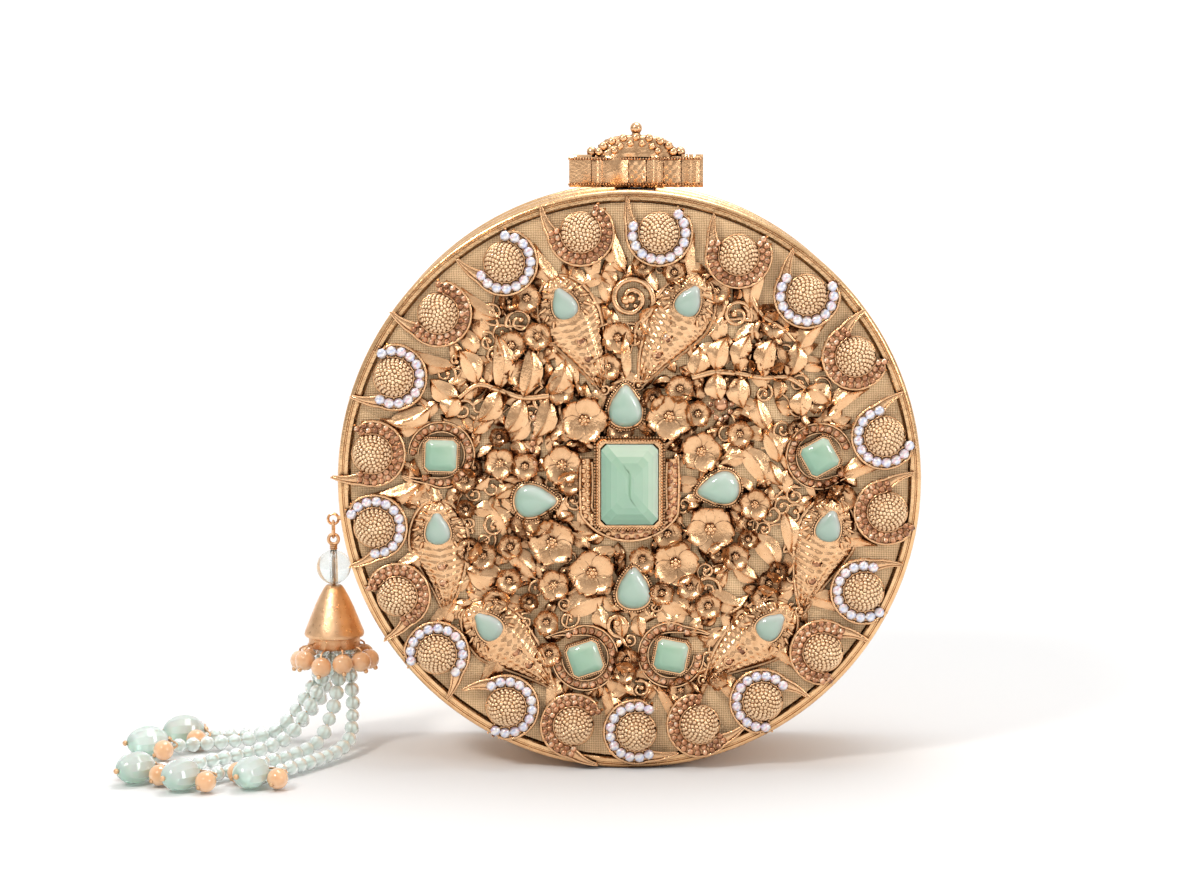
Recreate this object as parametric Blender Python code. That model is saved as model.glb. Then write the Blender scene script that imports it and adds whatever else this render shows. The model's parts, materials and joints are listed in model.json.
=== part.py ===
"""Round evening clutch: two metal half-cases hinged at the bottom, a lift clasp shaped as a crown,
cast ornaments on a fabric front panel, and a bead tassel on a side eye.

Metres, +Z up, front face towards -Y. The origin is on the floor under the middle of the case.
"""
import math

import bmesh
import bpy
from mathutils import Matrix, Vector

# Case
CASE_RADIUS = 0.080
CASE_DEPTH = 0.050
# The artwork on the front is drawn on a grid of 80 units to the case radius; its heights are in metres
ARTWORK_UNIT = CASE_RADIUS / 80
CASE_SEGMENTS = 40
LINING_SEGMENTS = 20
SEAM_GAP = 0.0003
SEAT_GAP = 0.0003
GROOVE_DEPTH = 0.0007
SEAM_BEAD_WIDTH = 0.0022
EDGE_BEAD_WIDTH = 0.0028
BEAD_SLOPE = 0.0005
BAND_WALL = 0.0024
LIP_WIDTH = 0.0030
LEDGE_WIDTH = 0.0028
LEDGE_THICKNESS = 0.0010
PANEL_RECESS = 0.0015
PANEL_THICKNESS = 0.0020
LINING_THICKNESS = 0.0008
LINING_EDGE_SETBACK = 0.0036

# Bottom hinge
HINGE_LENGTH = 0.044
KNUCKLE_COUNT = 5
KNUCKLE_GAP = 0.0004
KNUCKLE_RADIUS = 0.0016
PIN_RADIUS = 0.0007
PIN_CLEARANCE = 0.0001
HINGE_SIDES = 12
LEAF_THICKNESS = 0.0013
LEAF_BOTTOM = 0.0005
LEAF_TOP = 0.0045

# Crown clasp
CROWN_X = 0.0019
CROWN_WIDTH = 0.037
CROWN_BAND_HEIGHT = 0.0088
CROWN_BAND_DEPTH = 0.0034
CROWN_FRONT = 0.0078
CROWN_FLUTES = 9
CROWN_FLUTE_PROUD = 0.0009
CROWN_FLUTE_SIDES = 6
CROWN_FLUTE_SHARE = 0.42
CROWN_FLUTE_LOW_SHARE = 0.93
CROWN_FLUTE_HIGH_SHARE = 1.04
CROWN_DOME_WIDTH = 0.0230
CROWN_DOME_HEIGHT = 0.0062
CROWN_DOME_DEPTH_SHARE = 0.62
FINIAL_RADIUS = 0.0017
FINIAL_SINK = 0.0005
CLASP_PIVOT_Y = 0.0060
CLASP_PIVOT_RISE = 0.0029
CLASP_BARREL_RADIUS = 0.0014
CLASP_BARREL_LENGTH = 0.012
CLASP_PIN_RADIUS = 0.0006
CLASP_FLOOR_THICKNESS = 0.0012
CLASP_BASE_THICKNESS = 0.0012
CLASP_BASE_DEPTH = 0.0058
CLASP_EAR_WIDTH = 0.0014
MAGNET_RADIUS = 0.0016
KEEPER_WIDTH = 0.010
KEEPER_DEPTH = 0.0038
KEEPER_SETBACK = 0.0004
KEEPER_THICKNESS = 0.0009

# Rim settings: angle round the case, distance from its centre, direction of the comma's tip, sense
DOME_RADIUS = 5.15 * ARTWORK_UNIT
DOME_HEIGHT = 0.0052
CUP_RADIUS = 8.6 * ARTWORK_UNIT
CUP_SCALLOP = 0.6 * ARTWORK_UNIT
CUP_HEIGHT = 0.0017
CUP_LOBE_COUNT = 8
CUP_LOBE_ANGLE = 33
CUP_FIRST_ANGLE = 34
CUP_END_ANGLE = 294
CUP_TIP_ANGLE = 15
DOME_SHOULDER_SHARE = 0.78
CORE_SHARE = 1.08
TAIL_REACH = 12.5 * ARTWORK_UNIT
RIM_SETTINGS = [
    (101.0, 69.8, 152.8, 1), (83.4, 68.9, 137.6, 1), (64.7, 69.1, 127.0, 1),
    (47.0, 70.6, 112.7, 1), (29.5, 70.6, 85.0, 1), (10.5, 70.8, 74.0, 1),
    (-6.4, 71, 62.0, 1), (-25.0, 71, 41.0, 1), (-41.4, 71, 20.0, 1),
    (-58.8, 71, 11.0, 1), (-73.9, 70, -5.0, -1), (-88.4, 69.3, -33.0, -1),
    (-102.9, 69.3, -65.0, -1), (-118.6, 71, 152.0, -1), (-138.2, 71.2, -71.5, 1),
    (-153.9, 71, -101.0, 1), (-170.1, 71, -116.6, 1), (173.4, 70.8, 215.5, 1),
    (155.6, 70.6, 210.0, 1), (138.2, 69.8, 184.0, 1), (119.4, 69.4, 182.0, 1),
]

# Square stones with a crescent cup: x and z from the case centre, turn, tip direction
SQUARE_STONE = 8.2 * ARTWORK_UNIT
SQUARE_STONE_HEIGHT = 0.0046
SQUARE_CUP_RADIUS = 8.8 * ARTWORK_UNIT
SQUARE_CUP_HEIGHT = 0.0011
SQUARE_CUP_TAIL = 3.6 * ARTWORK_UNIT
SQUARE_CUP_TAIL_ANGLE = 28
SQUARE_SIDES = 12
SQUARE_TABLE_SHARE = 0.7
SQUARE_SETTINGS = [
    (-51.5, 7.7, -2.0, 215.0), (52, 7.3, 29.0, -20.0),
    (-12.2, -48.7, 18.0, 146.0), (11.5, -47.9, -11.0, 35.0),
]

# Paisleys: stone x and z, tail x and z, from the case centre, and the side to which the tail curls
PAISLEY_HEAD_RADIUS = 7.2 * ARTWORK_UNIT
PAISLEY_EDGE_HEIGHT = 0.0011
PAISLEY_CROWN_HEIGHT = 0.0026
PAISLEY_STONE_HEIGHT = 0.0046
PAISLEY_STONE_LENGTH = 9.3 * ARTWORK_UNIT
PAISLEY_STONE_WIDTH = 6 * ARTWORK_UNIT
PAISLEY_CURL_ANGLE = 10
PAISLEY_STONE_SHARE = 0.6
PAISLEY_RAISED_SHARE = 0.82
PAISLEY_NECK_SHARE = 1.35
PAISLEYS = [
    (-17.6, 48.4, -9.5, 27.5, 1), (15.8, 49.2, 5.5, 29, -1),
    (-52.5, -13.5, -51.5, -34, 1), (54.5, -12.7, 49, -33.5, -1),
    (-38.4, -40.2, -24, -54.5, 1), (38.4, -40.2, 24, -53, -1),
]

# Centre stone
CENTRE_STONE_WIDTH = 15.5 * ARTWORK_UNIT
CENTRE_STONE_LENGTH = 22 * ARTWORK_UNIT
CENTRE_STONE_CORNER = 2.2 * ARTWORK_UNIT
CENTRE_BEZEL = 1.2 * ARTWORK_UNIT
CENTRE_SEAT_HEIGHT = 0.0024
CENTRE_BEZEL_HEIGHT = 0.0052
CENTRE_STONE_TOP = 0.0076
CENTRE_CRESCENT_RADIUS = 14 * ARTWORK_UNIT
CENTRE_CRESCENT_SHARE = 0.3
CENTRE_SKIRT_SHARE = 1.04
CENTRE_SKIRT_HEIGHT = 0.0019
CENTRE_FACET_INSET = 1.6 * ARTWORK_UNIT
CENTRE_TABLE_INSET = 3.6 * ARTWORK_UNIT

# Pear stones on the panel: x and z from the case centre, direction of the point
PEAR_LENGTH = 13.3 * ARTWORK_UNIT
PEAR_WIDTH = 9.6 * ARTWORK_UNIT
PEAR_BEZEL_HEIGHT = 0.0026
PEAR_HEIGHT = 0.0044
PEAR_SIDES = 10
PEARS = [(-1.1, 21.2, -90.0), (-25.7, -5, 0.0), (24.3, -1.6, 190.0),
         (1.2, -29.1, 90.0)]

# Flowers on the panel: x and z from the case centre, size
FLOWER_RADIUS = 6 * ARTWORK_UNIT
FLOWER_EDGE_HEIGHT = 0.0018
FLOWER_HEIGHT = 0.0034
FLOWER_PETALS = 5
FLOWER_NOTCH_SHARE = 0.62
FLOWER_TURN_ANGLE = 25
FLOWERS = [
    (-11.8, 17.3, 1.0), (-18.5, 5, 0.8), (10.9, 18.3, 1.0), (19.6, 9.6, 0.8),
    (-21.3, -16.5, 1.0), (22.2, -13.3, 1.0), (12.7, -22.3, 1.0),
    (-10.3, -24.9, 1.0), (-34, 5.4, 0.6), (34.5, -6, 0.6),
    (-20.8, -29, 0.6),
]

# Loose leaves on the panel: base x and z, tip x and z, from the case centre
PANEL_LEAVES = [
    (-1.1, 29, -1.1, 40.5), (30, 7, 38.5, -1),
    (-25, -25, -34.5, -20), (-35.5, -25, -44, -22.5),
    (-9, -33, -20, -37.5), (8, -32.5, 18, -37),
    (21.5, -31, 33, -33.5), (39, 16, 34, 23.5),
    (40, 6, 35, 14), (33, -15, 40, -24),
]
LEAF_EDGE_HEIGHT = 0.0010
LEAF_RIDGE_HEIGHT = 0.0026
LEAF_SLENDERNESS = 0.24
LEAF_ROOT_SHARE = 0.2
LEAF_LAYER = 0.00006

# Leaf sprays: stem points, then leaves as stem point number and tip, from the case centre
STEM_RADIUS = 0.0009
STEM_RISE = 0.0002
LEAF_SINK = 0.0003
LEFT_STEM = [(-22, 24), (-29, 23.5), (-35.5, 25.5), (-41.5, 27),
             (-46.5, 23.5)]
LEFT_LEAVES = [(0, -17.5, 34), (0, -26.2, 12), (1, -27.5, 38), (1, -34.5, 13.5),
               (2, -36.5, 41), (2, -41.5, 17), (3, -46.5, 36.5), (4, -54.5, 28.5),
               (4, -50, 18)]
RIGHT_STEM = [(17, 29), (23.5, 30.5), (30, 30), (36.5, 29),
              (43, 29), (48, 26)]
RIGHT_LEAVES = [(0, 19, 37.5), (1, 26.5, 40), (1, 25, 22.5), (2, 33, 41),
                (2, 31, 20.5), (3, 39.5, 40), (4, 45.5, 39), (5, 55, 22),
                (5, 47, 18)]

# Scroll on the panel
SCROLL_X = 0.2 * ARTWORK_UNIT
SCROLL_Z = 50 * ARTWORK_UNIT
SCROLL_RADIUS = 5.2 * ARTWORK_UNIT
SCROLL_TURNS = 1.6
SCROLL_WIRE = 0.0009
SCROLL_WIRE_SHARE = 0.6
SCROLL_CLOSING_SHARE = 0.72
SCROLL_POINT_COUNT = 11

# Tassel
EYE_ANGLE = 189.6
EYE_Y = 0.0032
EYE_STANDOFF = 0.0049
EYE_RING_RADIUS = 0.0015
EYE_WIRE = 0.00045
LINK_WIDTH = 0.0032
LINK_HEIGHT = 0.0048
LINK_WIRE = 0.0004
LINK_PLAY = 0.0001
WIRE_EYE_RADIUS = 0.0014
WIRE_RADIUS = 0.0005
WIRE_GAP = 0.0003
WIRE_WRAP_HEIGHT = 0.0014
CLEAR_BEAD_RADIUS = 0.0049
CAP_HEIGHT = 0.0142
CAP_TOP_RADIUS = 0.0025
CAP_RADIUS = 0.0088
CAP_ROUNDING = 0.0006
SKIRT_HEIGHT = 0.0036
SKIRT_RADIUS = 0.0072
CAP_HOLLOW_RADIUS = 0.0056
PEARL_RING_RADIUS = 0.0100
PEARL_RADIUS = 0.0029
PEARL_COUNT = 10
PEARL_DROP = 0.0036
PEARL_WAIST_SHARE = 0.55
PEARL_SIDES = 6
STRAND_RADIUS = 0.0022
STRAND_RING_RADIUS = 0.0046
STRAND_SIDES = 12
STRAND_POINT_COUNT = 8
DROP_LENGTH = 0.0120
DROP_WIDTH = 0.0088
# Each strand: start angle round the cap, then points on its way: offset from the tassel's axis, height
STRANDS = [
    (110.0, [(-0.0061, 0.0073, 0.0105), (-0.0156, 0.0068, 0.0032), (-0.0386, 0.0013, 0.0024)]),
    (170.0, [(-0.0111, 0.0008, 0.0105), (-0.0206, -0.0017, 0.0032), (-0.0471, -0.0127, 0.0024)]),
    (230.0, [(-0.0081, -0.0082, 0.0105), (-0.0171, -0.0152, 0.0032), (-0.0466, -0.0442, 0.0024)]),
    (290.0, [(-0.0006, -0.0117, 0.0105), (-0.0071, -0.0212, 0.0032), (-0.0336, -0.0522, 0.0024)]),
    (350.0, [(0.0056, -0.0082, 0.0105), (0.0029, -0.0192, 0.0032), (-0.0156, -0.0492, 0.0024)]),
]
DROP_RISE = 0.0045
TURN_SIDES = 12

SEAM = SEAM_GAP / 2
HALF_DEPTH = CASE_DEPTH / 2
FACET = math.cos(math.pi / CASE_SEGMENTS)
CENTRE_Z = CASE_RADIUS * FACET
TOP_Z = 2 * CENTRE_Z
PANEL_FACE = HALF_DEPTH - PANEL_RECESS
PANEL_BACK = PANEL_FACE - PANEL_THICKNESS
LEDGE_FRONT = PANEL_BACK - SEAT_GAP
LEDGE_BACK = LEDGE_FRONT - LEDGE_THICKNESS
BAND_INSIDE = CASE_RADIUS - BAND_WALL
LIP_INSIDE = CASE_RADIUS - LIP_WIDTH
HINGE_Z = KNUCKLE_RADIUS * math.cos(math.pi / HINGE_SIDES)
LEAF_INNER = KNUCKLE_RADIUS + SEAT_GAP
LEAF_OUTER = LEAF_INNER + LEAF_THICKNESS
ORNAMENT_SEAT = PANEL_FACE + SEAT_GAP
RIM_SEAT = HALF_DEPTH + SEAT_GAP


def clear_scene():
    for old in list(bpy.data.objects):
        bpy.data.objects.remove(old, do_unlink=True)


def material(name, colour, roughness, metallic, transmission=0.0):
    made = bpy.data.materials.new(name)
    made.use_nodes = True
    shader = made.node_tree.nodes["Principled BSDF"]
    shader.inputs["Base Color"].default_value = (*colour, 1.0)
    shader.inputs["Roughness"].default_value = roughness
    shader.inputs["Metallic"].default_value = metallic
    shader.inputs["Transmission Weight"].default_value = transmission
    return made


def add_object(name, data, finish):
    made = bpy.data.objects.new(name, data)
    bpy.context.scene.collection.objects.link(made)
    if not data.materials:
        data.materials.append(finish)
    return made


def mesh_from(name, bm, finish, smooth_deg=None):
    """Turn a closed bmesh into an object with its faces pointing out."""
    bmesh.ops.recalc_face_normals(bm, faces=bm.faces)
    mesh = bpy.data.meshes.new(name)
    bm.to_mesh(mesh)
    bm.free()
    if smooth_deg is not None:
        mesh.shade_smooth()
        mesh.set_sharp_from_angle(angle=math.radians(smooth_deg))
    return add_object(name, mesh, finish)


def evaluated_copy(piece):
    graph = bpy.context.evaluated_depsgraph_get()
    graph.update()
    return bpy.data.meshes.new_from_object(piece.evaluated_get(graph))


def combine(target, tool, operation):
    """Join or cut target with tool, keep the result on target and remove the tool."""
    modifier = target.modifiers.new(operation.title(), "BOOLEAN")
    modifier.operation = operation
    modifier.solver = "EXACT"
    modifier.object = tool
    result = evaluated_copy(target)
    target.modifiers.clear()
    target.data = result
    bpy.data.objects.remove(tool, do_unlink=True)


def join_all(target, tools):
    for tool in tools:
        combine(target, tool, "UNION")
    return target


def move_mesh(piece, offset):
    piece.data.transform(Matrix.Translation(Vector(offset)))


def stacked(name, rings, finish, apex=None, smooth_deg=None):
    """Closed solid through rings of equal count, from the back ring to the front ring or apex."""
    bm = bmesh.new()
    loops = [[bm.verts.new(point) for point in ring] for ring in rings]
    bm.faces.new(loops[0])
    for low, high in zip(loops, loops[1:]):
        for i, corner in enumerate(low):
            j = (i + 1) % len(low)
            bm.faces.new((corner, low[j], high[j], high[i]))
    if apex is None:
        bm.faces.new(loops[-1])
    else:
        tip = bm.verts.new(apex)
        last = loops[-1]
        for i, corner in enumerate(last):
            bm.faces.new((corner, last[(i + 1) % len(last)], tip))
    return mesh_from(name, bm, finish, smooth_deg)


def block(name, low, high, finish):
    corners = [(low[0], low[1]), (high[0], low[1]), (high[0], high[1]), (low[0], high[1])]
    rings = [[(x, y, z) for x, y in corners] for z in (low[2], high[2])]
    return stacked(name, rings, finish)


def rod(name, start, end, radius, sides, finish, turn=0.5):
    """Straight round bar; turn 0.5 puts a flat of its outline straight down."""
    start, end = Vector(start), Vector(end)
    along = (end - start).normalized()
    side = Vector((0, 0, 1)) if abs(along.z) < 0.9 else Vector((0, 1, 0))
    u = along.cross(side).normalized()
    v = along.cross(u).normalized()
    angles = [2 * math.pi * (i + turn) / sides for i in range(sides)]
    round_ring = [(u * math.sin(a) + v * math.cos(a)) * radius for a in angles]
    return stacked(name, [[start + p for p in round_ring], [end + p for p in round_ring]], finish, None, 40)


def turned(name, profile, centre, sides, finish, axis="Z", smooth_deg=40):
    """Solid of revolution from a closed profile of (radius, along); radius 0 closes on the axis."""
    bm = bmesh.new()
    rows = []
    for radius, along in profile:
        count = sides if radius > 0 else 1
        row = []
        for i in range(count):
            angle = 2 * math.pi * (i + 0.5) / sides
            flat = (radius * math.cos(angle), radius * math.sin(angle))
            point = (flat[0], along, flat[1]) if axis == "Y" else (flat[0], flat[1], along)
            row.append(bm.verts.new(Vector(point) + Vector(centre)))
        rows.append(row)
    closed = profile[0][0] > 0
    pairs = list(zip(rows, rows[1:]))
    if closed:
        pairs.append((rows[-1], rows[0]))
    for low, high in pairs:
        for i in range(sides):
            j = (i + 1) % sides
            corners = [low[i % len(low)], low[j % len(low)], high[j % len(high)], high[i % len(high)]]
            bm.faces.new(list(dict.fromkeys(corners)))
    return mesh_from(name, bm, finish, smooth_deg)


def wire_mesh(name, points, radius, finish, closed=False, sides=8):
    """Round wire through points, as a mesh made from a bevelled curve with a multiple of 4 sides."""
    curve = bpy.data.curves.new(name + "_path", "CURVE")
    curve.dimensions = "3D"
    curve.bevel_depth = radius
    curve.bevel_resolution = sides // 4 - 1
    curve.use_fill_caps = not closed
    spline = curve.splines.new("POLY")
    spline.points.add(len(points) - 1)
    for node, point in zip(spline.points, points):
        node.co = (*point, 1.0)
    spline.use_cyclic_u = closed
    path = bpy.data.objects.new(name + "_path", curve)
    bpy.context.scene.collection.objects.link(path)
    mesh = evaluated_copy(path)
    bpy.data.objects.remove(path, do_unlink=True)
    mesh.shade_smooth()
    return add_object(name, mesh, finish)


def loop_points(centre, half_width, half_height, plane, count):
    """Points round an oval loop standing in the XZ or YZ plane."""
    points = []
    for i in range(count):
        angle = 2 * math.pi * i / count
        across, up = half_width * math.cos(angle), half_height * math.sin(angle)
        offset = (across, 0, up) if plane == "XZ" else (0, across, up)
        points.append(Vector(centre) + Vector(offset))
    return points


def smooth_path(points, count):
    """Points at even steps on a smooth curve through the given points."""
    ends = [points[0] * 2 - points[1], *points, points[-1] * 2 - points[-2]]
    fine = []
    steps = 24
    for k in range(1, len(ends) - 2):
        a, b, c, d = ends[k - 1], ends[k], ends[k + 1], ends[k + 2]
        for i in range(steps):
            t = i / steps
            fine.append(0.5 * (2 * b + (c - a) * t + (2 * a - 5 * b + 4 * c - d) * t * t
                               + (3 * b - a - 3 * c + d) * t ** 3))
    fine.append(points[-1])
    lengths = [0.0]
    for a, b in zip(fine, fine[1:]):
        lengths.append(lengths[-1] + (b - a).length)
    picked = []
    for i in range(count):
        wanted = lengths[-1] * i / (count - 1)
        k = min(max(sum(length < wanted for length in lengths), 1), len(fine) - 1)
        share = (wanted - lengths[k - 1]) / (lengths[k] - lengths[k - 1])
        picked.append(fine[k - 1].lerp(fine[k], share))
    return picked


def placed(*grid_values):
    """Turn places on the artwork's grid into metres."""
    return [value * ARTWORK_UNIT for value in grid_values]


def face_ring(x, z, outline, height, seat):
    """Lift an outline of (x, z) offsets off the front of the case."""
    return [(x + dx, -(seat + height), CENTRE_Z + z + dz) for dx, dz in outline]


def scaled(outline, factor):
    return [(dx * factor, dz * factor) for dx, dz in outline]


def capped(outline, limit):
    """Pull the points of an outline in to no more than a limit from its middle."""
    result = []
    for dx, dz in outline:
        reach = math.hypot(dx, dz)
        factor = min(1.0, limit / reach)
        result.append((dx * factor, dz * factor))
    return result


def polar(samples, start_deg, sense):
    return [(radius * math.cos(math.radians(start_deg + sense * turn)),
             radius * math.sin(math.radians(start_deg + sense * turn))) for turn, radius in samples]


def comma_outline(cup_radius, core_radius, tail, tip_deg, sense):
    """A scalloped crescent that starts in a pointed tail and leaves the core bare at its gap."""
    samples = [(-CUP_TIP_ANGLE, core_radius), (0, tail), (CUP_TIP_ANGLE, (tail + cup_radius) / 2)]
    for i in range(CUP_LOBE_COUNT):
        samples.append((CUP_FIRST_ANGLE + CUP_LOBE_ANGLE * i, cup_radius - CUP_SCALLOP * (i % 2)))
    samples.append((CUP_END_ANGLE, core_radius))
    return polar(samples, tip_deg, sense)


def pear_outline(length, width, point_deg, count):
    """Round at one end, pointed at the other, about the middle of its length."""
    head = width / 2
    reach = length - head
    shift = (reach - head) / 2
    lean = math.acos(head / reach)
    samples = []
    for i in range(count):
        angle = math.pi * 2 * i / count
        away = abs(math.remainder(angle, 2 * math.pi))
        radius = head if away > lean else head / math.cos(away - lean)
        samples.append((math.degrees(angle), radius))
    turn = math.radians(point_deg)
    return [(dx - shift * math.cos(turn), dz - shift * math.sin(turn))
            for dx, dz in polar(samples, point_deg, 1)]


def band_profile():
    """Section of one half of the case wall, as (radius, distance from the seam)."""
    groove = CASE_RADIUS - GROOVE_DEPTH
    edge_start = HALF_DEPTH - EDGE_BEAD_WIDTH
    ledge_inside = LIP_INSIDE - LEDGE_WIDTH
    return [
        (BAND_INSIDE, SEAM), (CASE_RADIUS, SEAM), (CASE_RADIUS, SEAM_BEAD_WIDTH),
        (groove, SEAM_BEAD_WIDTH + BEAD_SLOPE), (groove, edge_start),
        (CASE_RADIUS, edge_start + BEAD_SLOPE), (CASE_RADIUS, HALF_DEPTH - GROOVE_DEPTH),
        (groove, HALF_DEPTH), (LIP_INSIDE, HALF_DEPTH), (LIP_INSIDE, LEDGE_FRONT),
        (ledge_inside, LEDGE_FRONT), (ledge_inside, LEDGE_BACK), (BAND_INSIDE, LEDGE_BACK),
    ]


def make_band(name, side, finish):
    """Half of the case wall; side is -1 for the front and 1 for the back."""
    profile = [(radius, side * along) for radius, along in band_profile()]
    band = turned(name, profile, (0, 0, CENTRE_Z), CASE_SEGMENTS, finish, "Y", 30)
    half_slot = HINGE_LENGTH / 2 + SEAT_GAP
    reach = side * (LEAF_OUTER + SEAT_GAP)
    slot_top = LEAF_TOP + CASE_RADIUS - BAND_INSIDE
    slot = block("slot", (-half_slot, min(reach, -side * SEAM), -BAND_WALL),
                 (half_slot, max(reach, -side * SEAM), slot_top), finish)
    combine(band, slot, "DIFFERENCE")
    return band


def disc_ring(radius, along, segments):
    """Ring of points round the case's middle line, with a flat of its outline straight down."""
    angles = [2 * math.pi * (i + 0.5) / segments for i in range(segments)]
    return [(radius * math.cos(angle), along, CENTRE_Z + radius * math.sin(angle)) for angle in angles]


def make_panel(name, side, finish):
    radius = LIP_INSIDE - SEAT_GAP
    rings = [disc_ring(radius, side * along, CASE_SEGMENTS) for along in (PANEL_BACK, PANEL_FACE)]
    return stacked(name, rings, finish)


def make_lining(name, side, finish):
    """Dish that covers the inside of one half, open at the seam."""
    outer = (BAND_INSIDE - SEAT_GAP) * FACET
    inner = outer - LINING_THICKNESS
    back = LEDGE_BACK - SEAT_GAP
    rows = [(outer, back), (outer, LINING_EDGE_SETBACK), (inner, LINING_EDGE_SETBACK),
            (inner, back - LINING_THICKNESS)]
    return stacked(name, [disc_ring(radius, side * along, LINING_SEGMENTS) for radius, along in rows], finish)


def knuckle_spans():
    """Start and end of each knuckle along the hinge."""
    pitch = HINGE_LENGTH / KNUCKLE_COUNT
    half_gap = KNUCKLE_GAP / 2
    return [(-HINGE_LENGTH / 2 + pitch * i + half_gap, -HINGE_LENGTH / 2 + pitch * (i + 1) - half_gap)
            for i in range(KNUCKLE_COUNT)]


def make_hinge_leaf(name, side, first, finish):
    """Straight bar let into the case wall, with every second knuckle on it."""
    near, far = side * LEAF_INNER, side * LEAF_OUTER
    half = HINGE_LENGTH / 2
    leaf = block(name, (-half, min(near, far), LEAF_BOTTOM), (half, max(near, far), LEAF_TOP), finish)
    web_reach = side * (LEAF_INNER + LEAF_THICKNESS / 2)
    web_half = KNUCKLE_RADIUS / 2
    for start, end in knuckle_spans()[first::2]:
        web = block("web", (start, min(0, web_reach), HINGE_Z - web_half),
                    (end, max(0, web_reach), HINGE_Z + web_half), finish)
        knuckle = rod("knuckle", (start, 0, HINGE_Z), (end, 0, HINGE_Z), KNUCKLE_RADIUS, HINGE_SIDES, finish)
        combine(knuckle, web, "UNION")
        combine(leaf, knuckle, "UNION")
    bore = rod("bore", (-HINGE_LENGTH, 0, HINGE_Z), (HINGE_LENGTH, 0, HINGE_Z), PIN_RADIUS + PIN_CLEARANCE,
               HINGE_SIDES, finish)
    combine(leaf, bore, "DIFFERENCE")
    return leaf


def make_rim_setting(number, finish):
    """Knurled dome in a comma-shaped cup, standing on the front edge of the case."""
    angle_deg, distance, tip_deg, sense = RIM_SETTINGS[number]
    x, z = placed(distance * math.cos(math.radians(angle_deg)), distance * math.sin(math.radians(angle_deg)))
    core = DOME_RADIUS * CORE_SHARE
    outline = comma_outline(CUP_RADIUS, core, TAIL_REACH, tip_deg, sense)
    round_core = capped(outline, (core + DOME_RADIUS) / 2)
    shoulder = capped(outline, DOME_RADIUS * DOME_SHOULDER_SHARE)
    rings = [
        face_ring(x, z, outline, 0, RIM_SEAT),
        face_ring(x, z, outline, CUP_HEIGHT, RIM_SEAT),
        face_ring(x, z, round_core, CUP_HEIGHT, RIM_SEAT),
        face_ring(x, z, shoulder, DOME_HEIGHT * DOME_SHOULDER_SHARE, RIM_SEAT),
    ]
    apex = face_ring(x, z, [(0, 0)], DOME_HEIGHT, RIM_SEAT)[0]
    return stacked(f"rim_setting_{number + 1:02d}", rings, finish, apex, 50)


def square_outline(size, turn_deg):
    """Square with points along its sides; half a step of turn puts points on its corners."""
    samples = []
    for i in range(SQUARE_SIDES):
        angle = 2 * math.pi * (i + 0.5) / SQUARE_SIDES
        samples.append((math.degrees(angle), size / 2 / max(abs(math.cos(angle)), abs(math.sin(angle)))))
    return polar(samples, turn_deg, 1)


def make_square_setting(number, finish):
    """Square stone in a low scalloped cup with a short tail."""
    grid_x, grid_z, turn_deg, tip_deg = SQUARE_SETTINGS[number]
    x, z = placed(grid_x, grid_z)
    stone = square_outline(SQUARE_STONE, turn_deg)
    cup = []
    for i, (dx, dz) in enumerate(stone):
        angle = math.atan2(dz, dx)
        from_tip = abs(math.remainder(angle - math.radians(tip_deg), 2 * math.pi))
        tail = max(0.0, 1 - from_tip / math.radians(SQUARE_CUP_TAIL_ANGLE)) * SQUARE_CUP_TAIL
        reach = SQUARE_CUP_RADIUS - CUP_SCALLOP * (i % 2) + tail
        cup.append((reach * math.cos(angle), reach * math.sin(angle)))
    table = scaled(stone, SQUARE_TABLE_SHARE)
    rings = [
        face_ring(x, z, cup, 0, ORNAMENT_SEAT),
        face_ring(x, z, cup, SQUARE_CUP_HEIGHT, ORNAMENT_SEAT),
        face_ring(x, z, stone, SQUARE_CUP_HEIGHT, ORNAMENT_SEAT),
        face_ring(x, z, stone, SQUARE_STONE_HEIGHT * SQUARE_TABLE_SHARE, ORNAMENT_SEAT),
        face_ring(x, z, table, SQUARE_STONE_HEIGHT, ORNAMENT_SEAT),
    ]
    return stacked(f"square_setting_{number + 1}", rings, finish)


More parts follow.
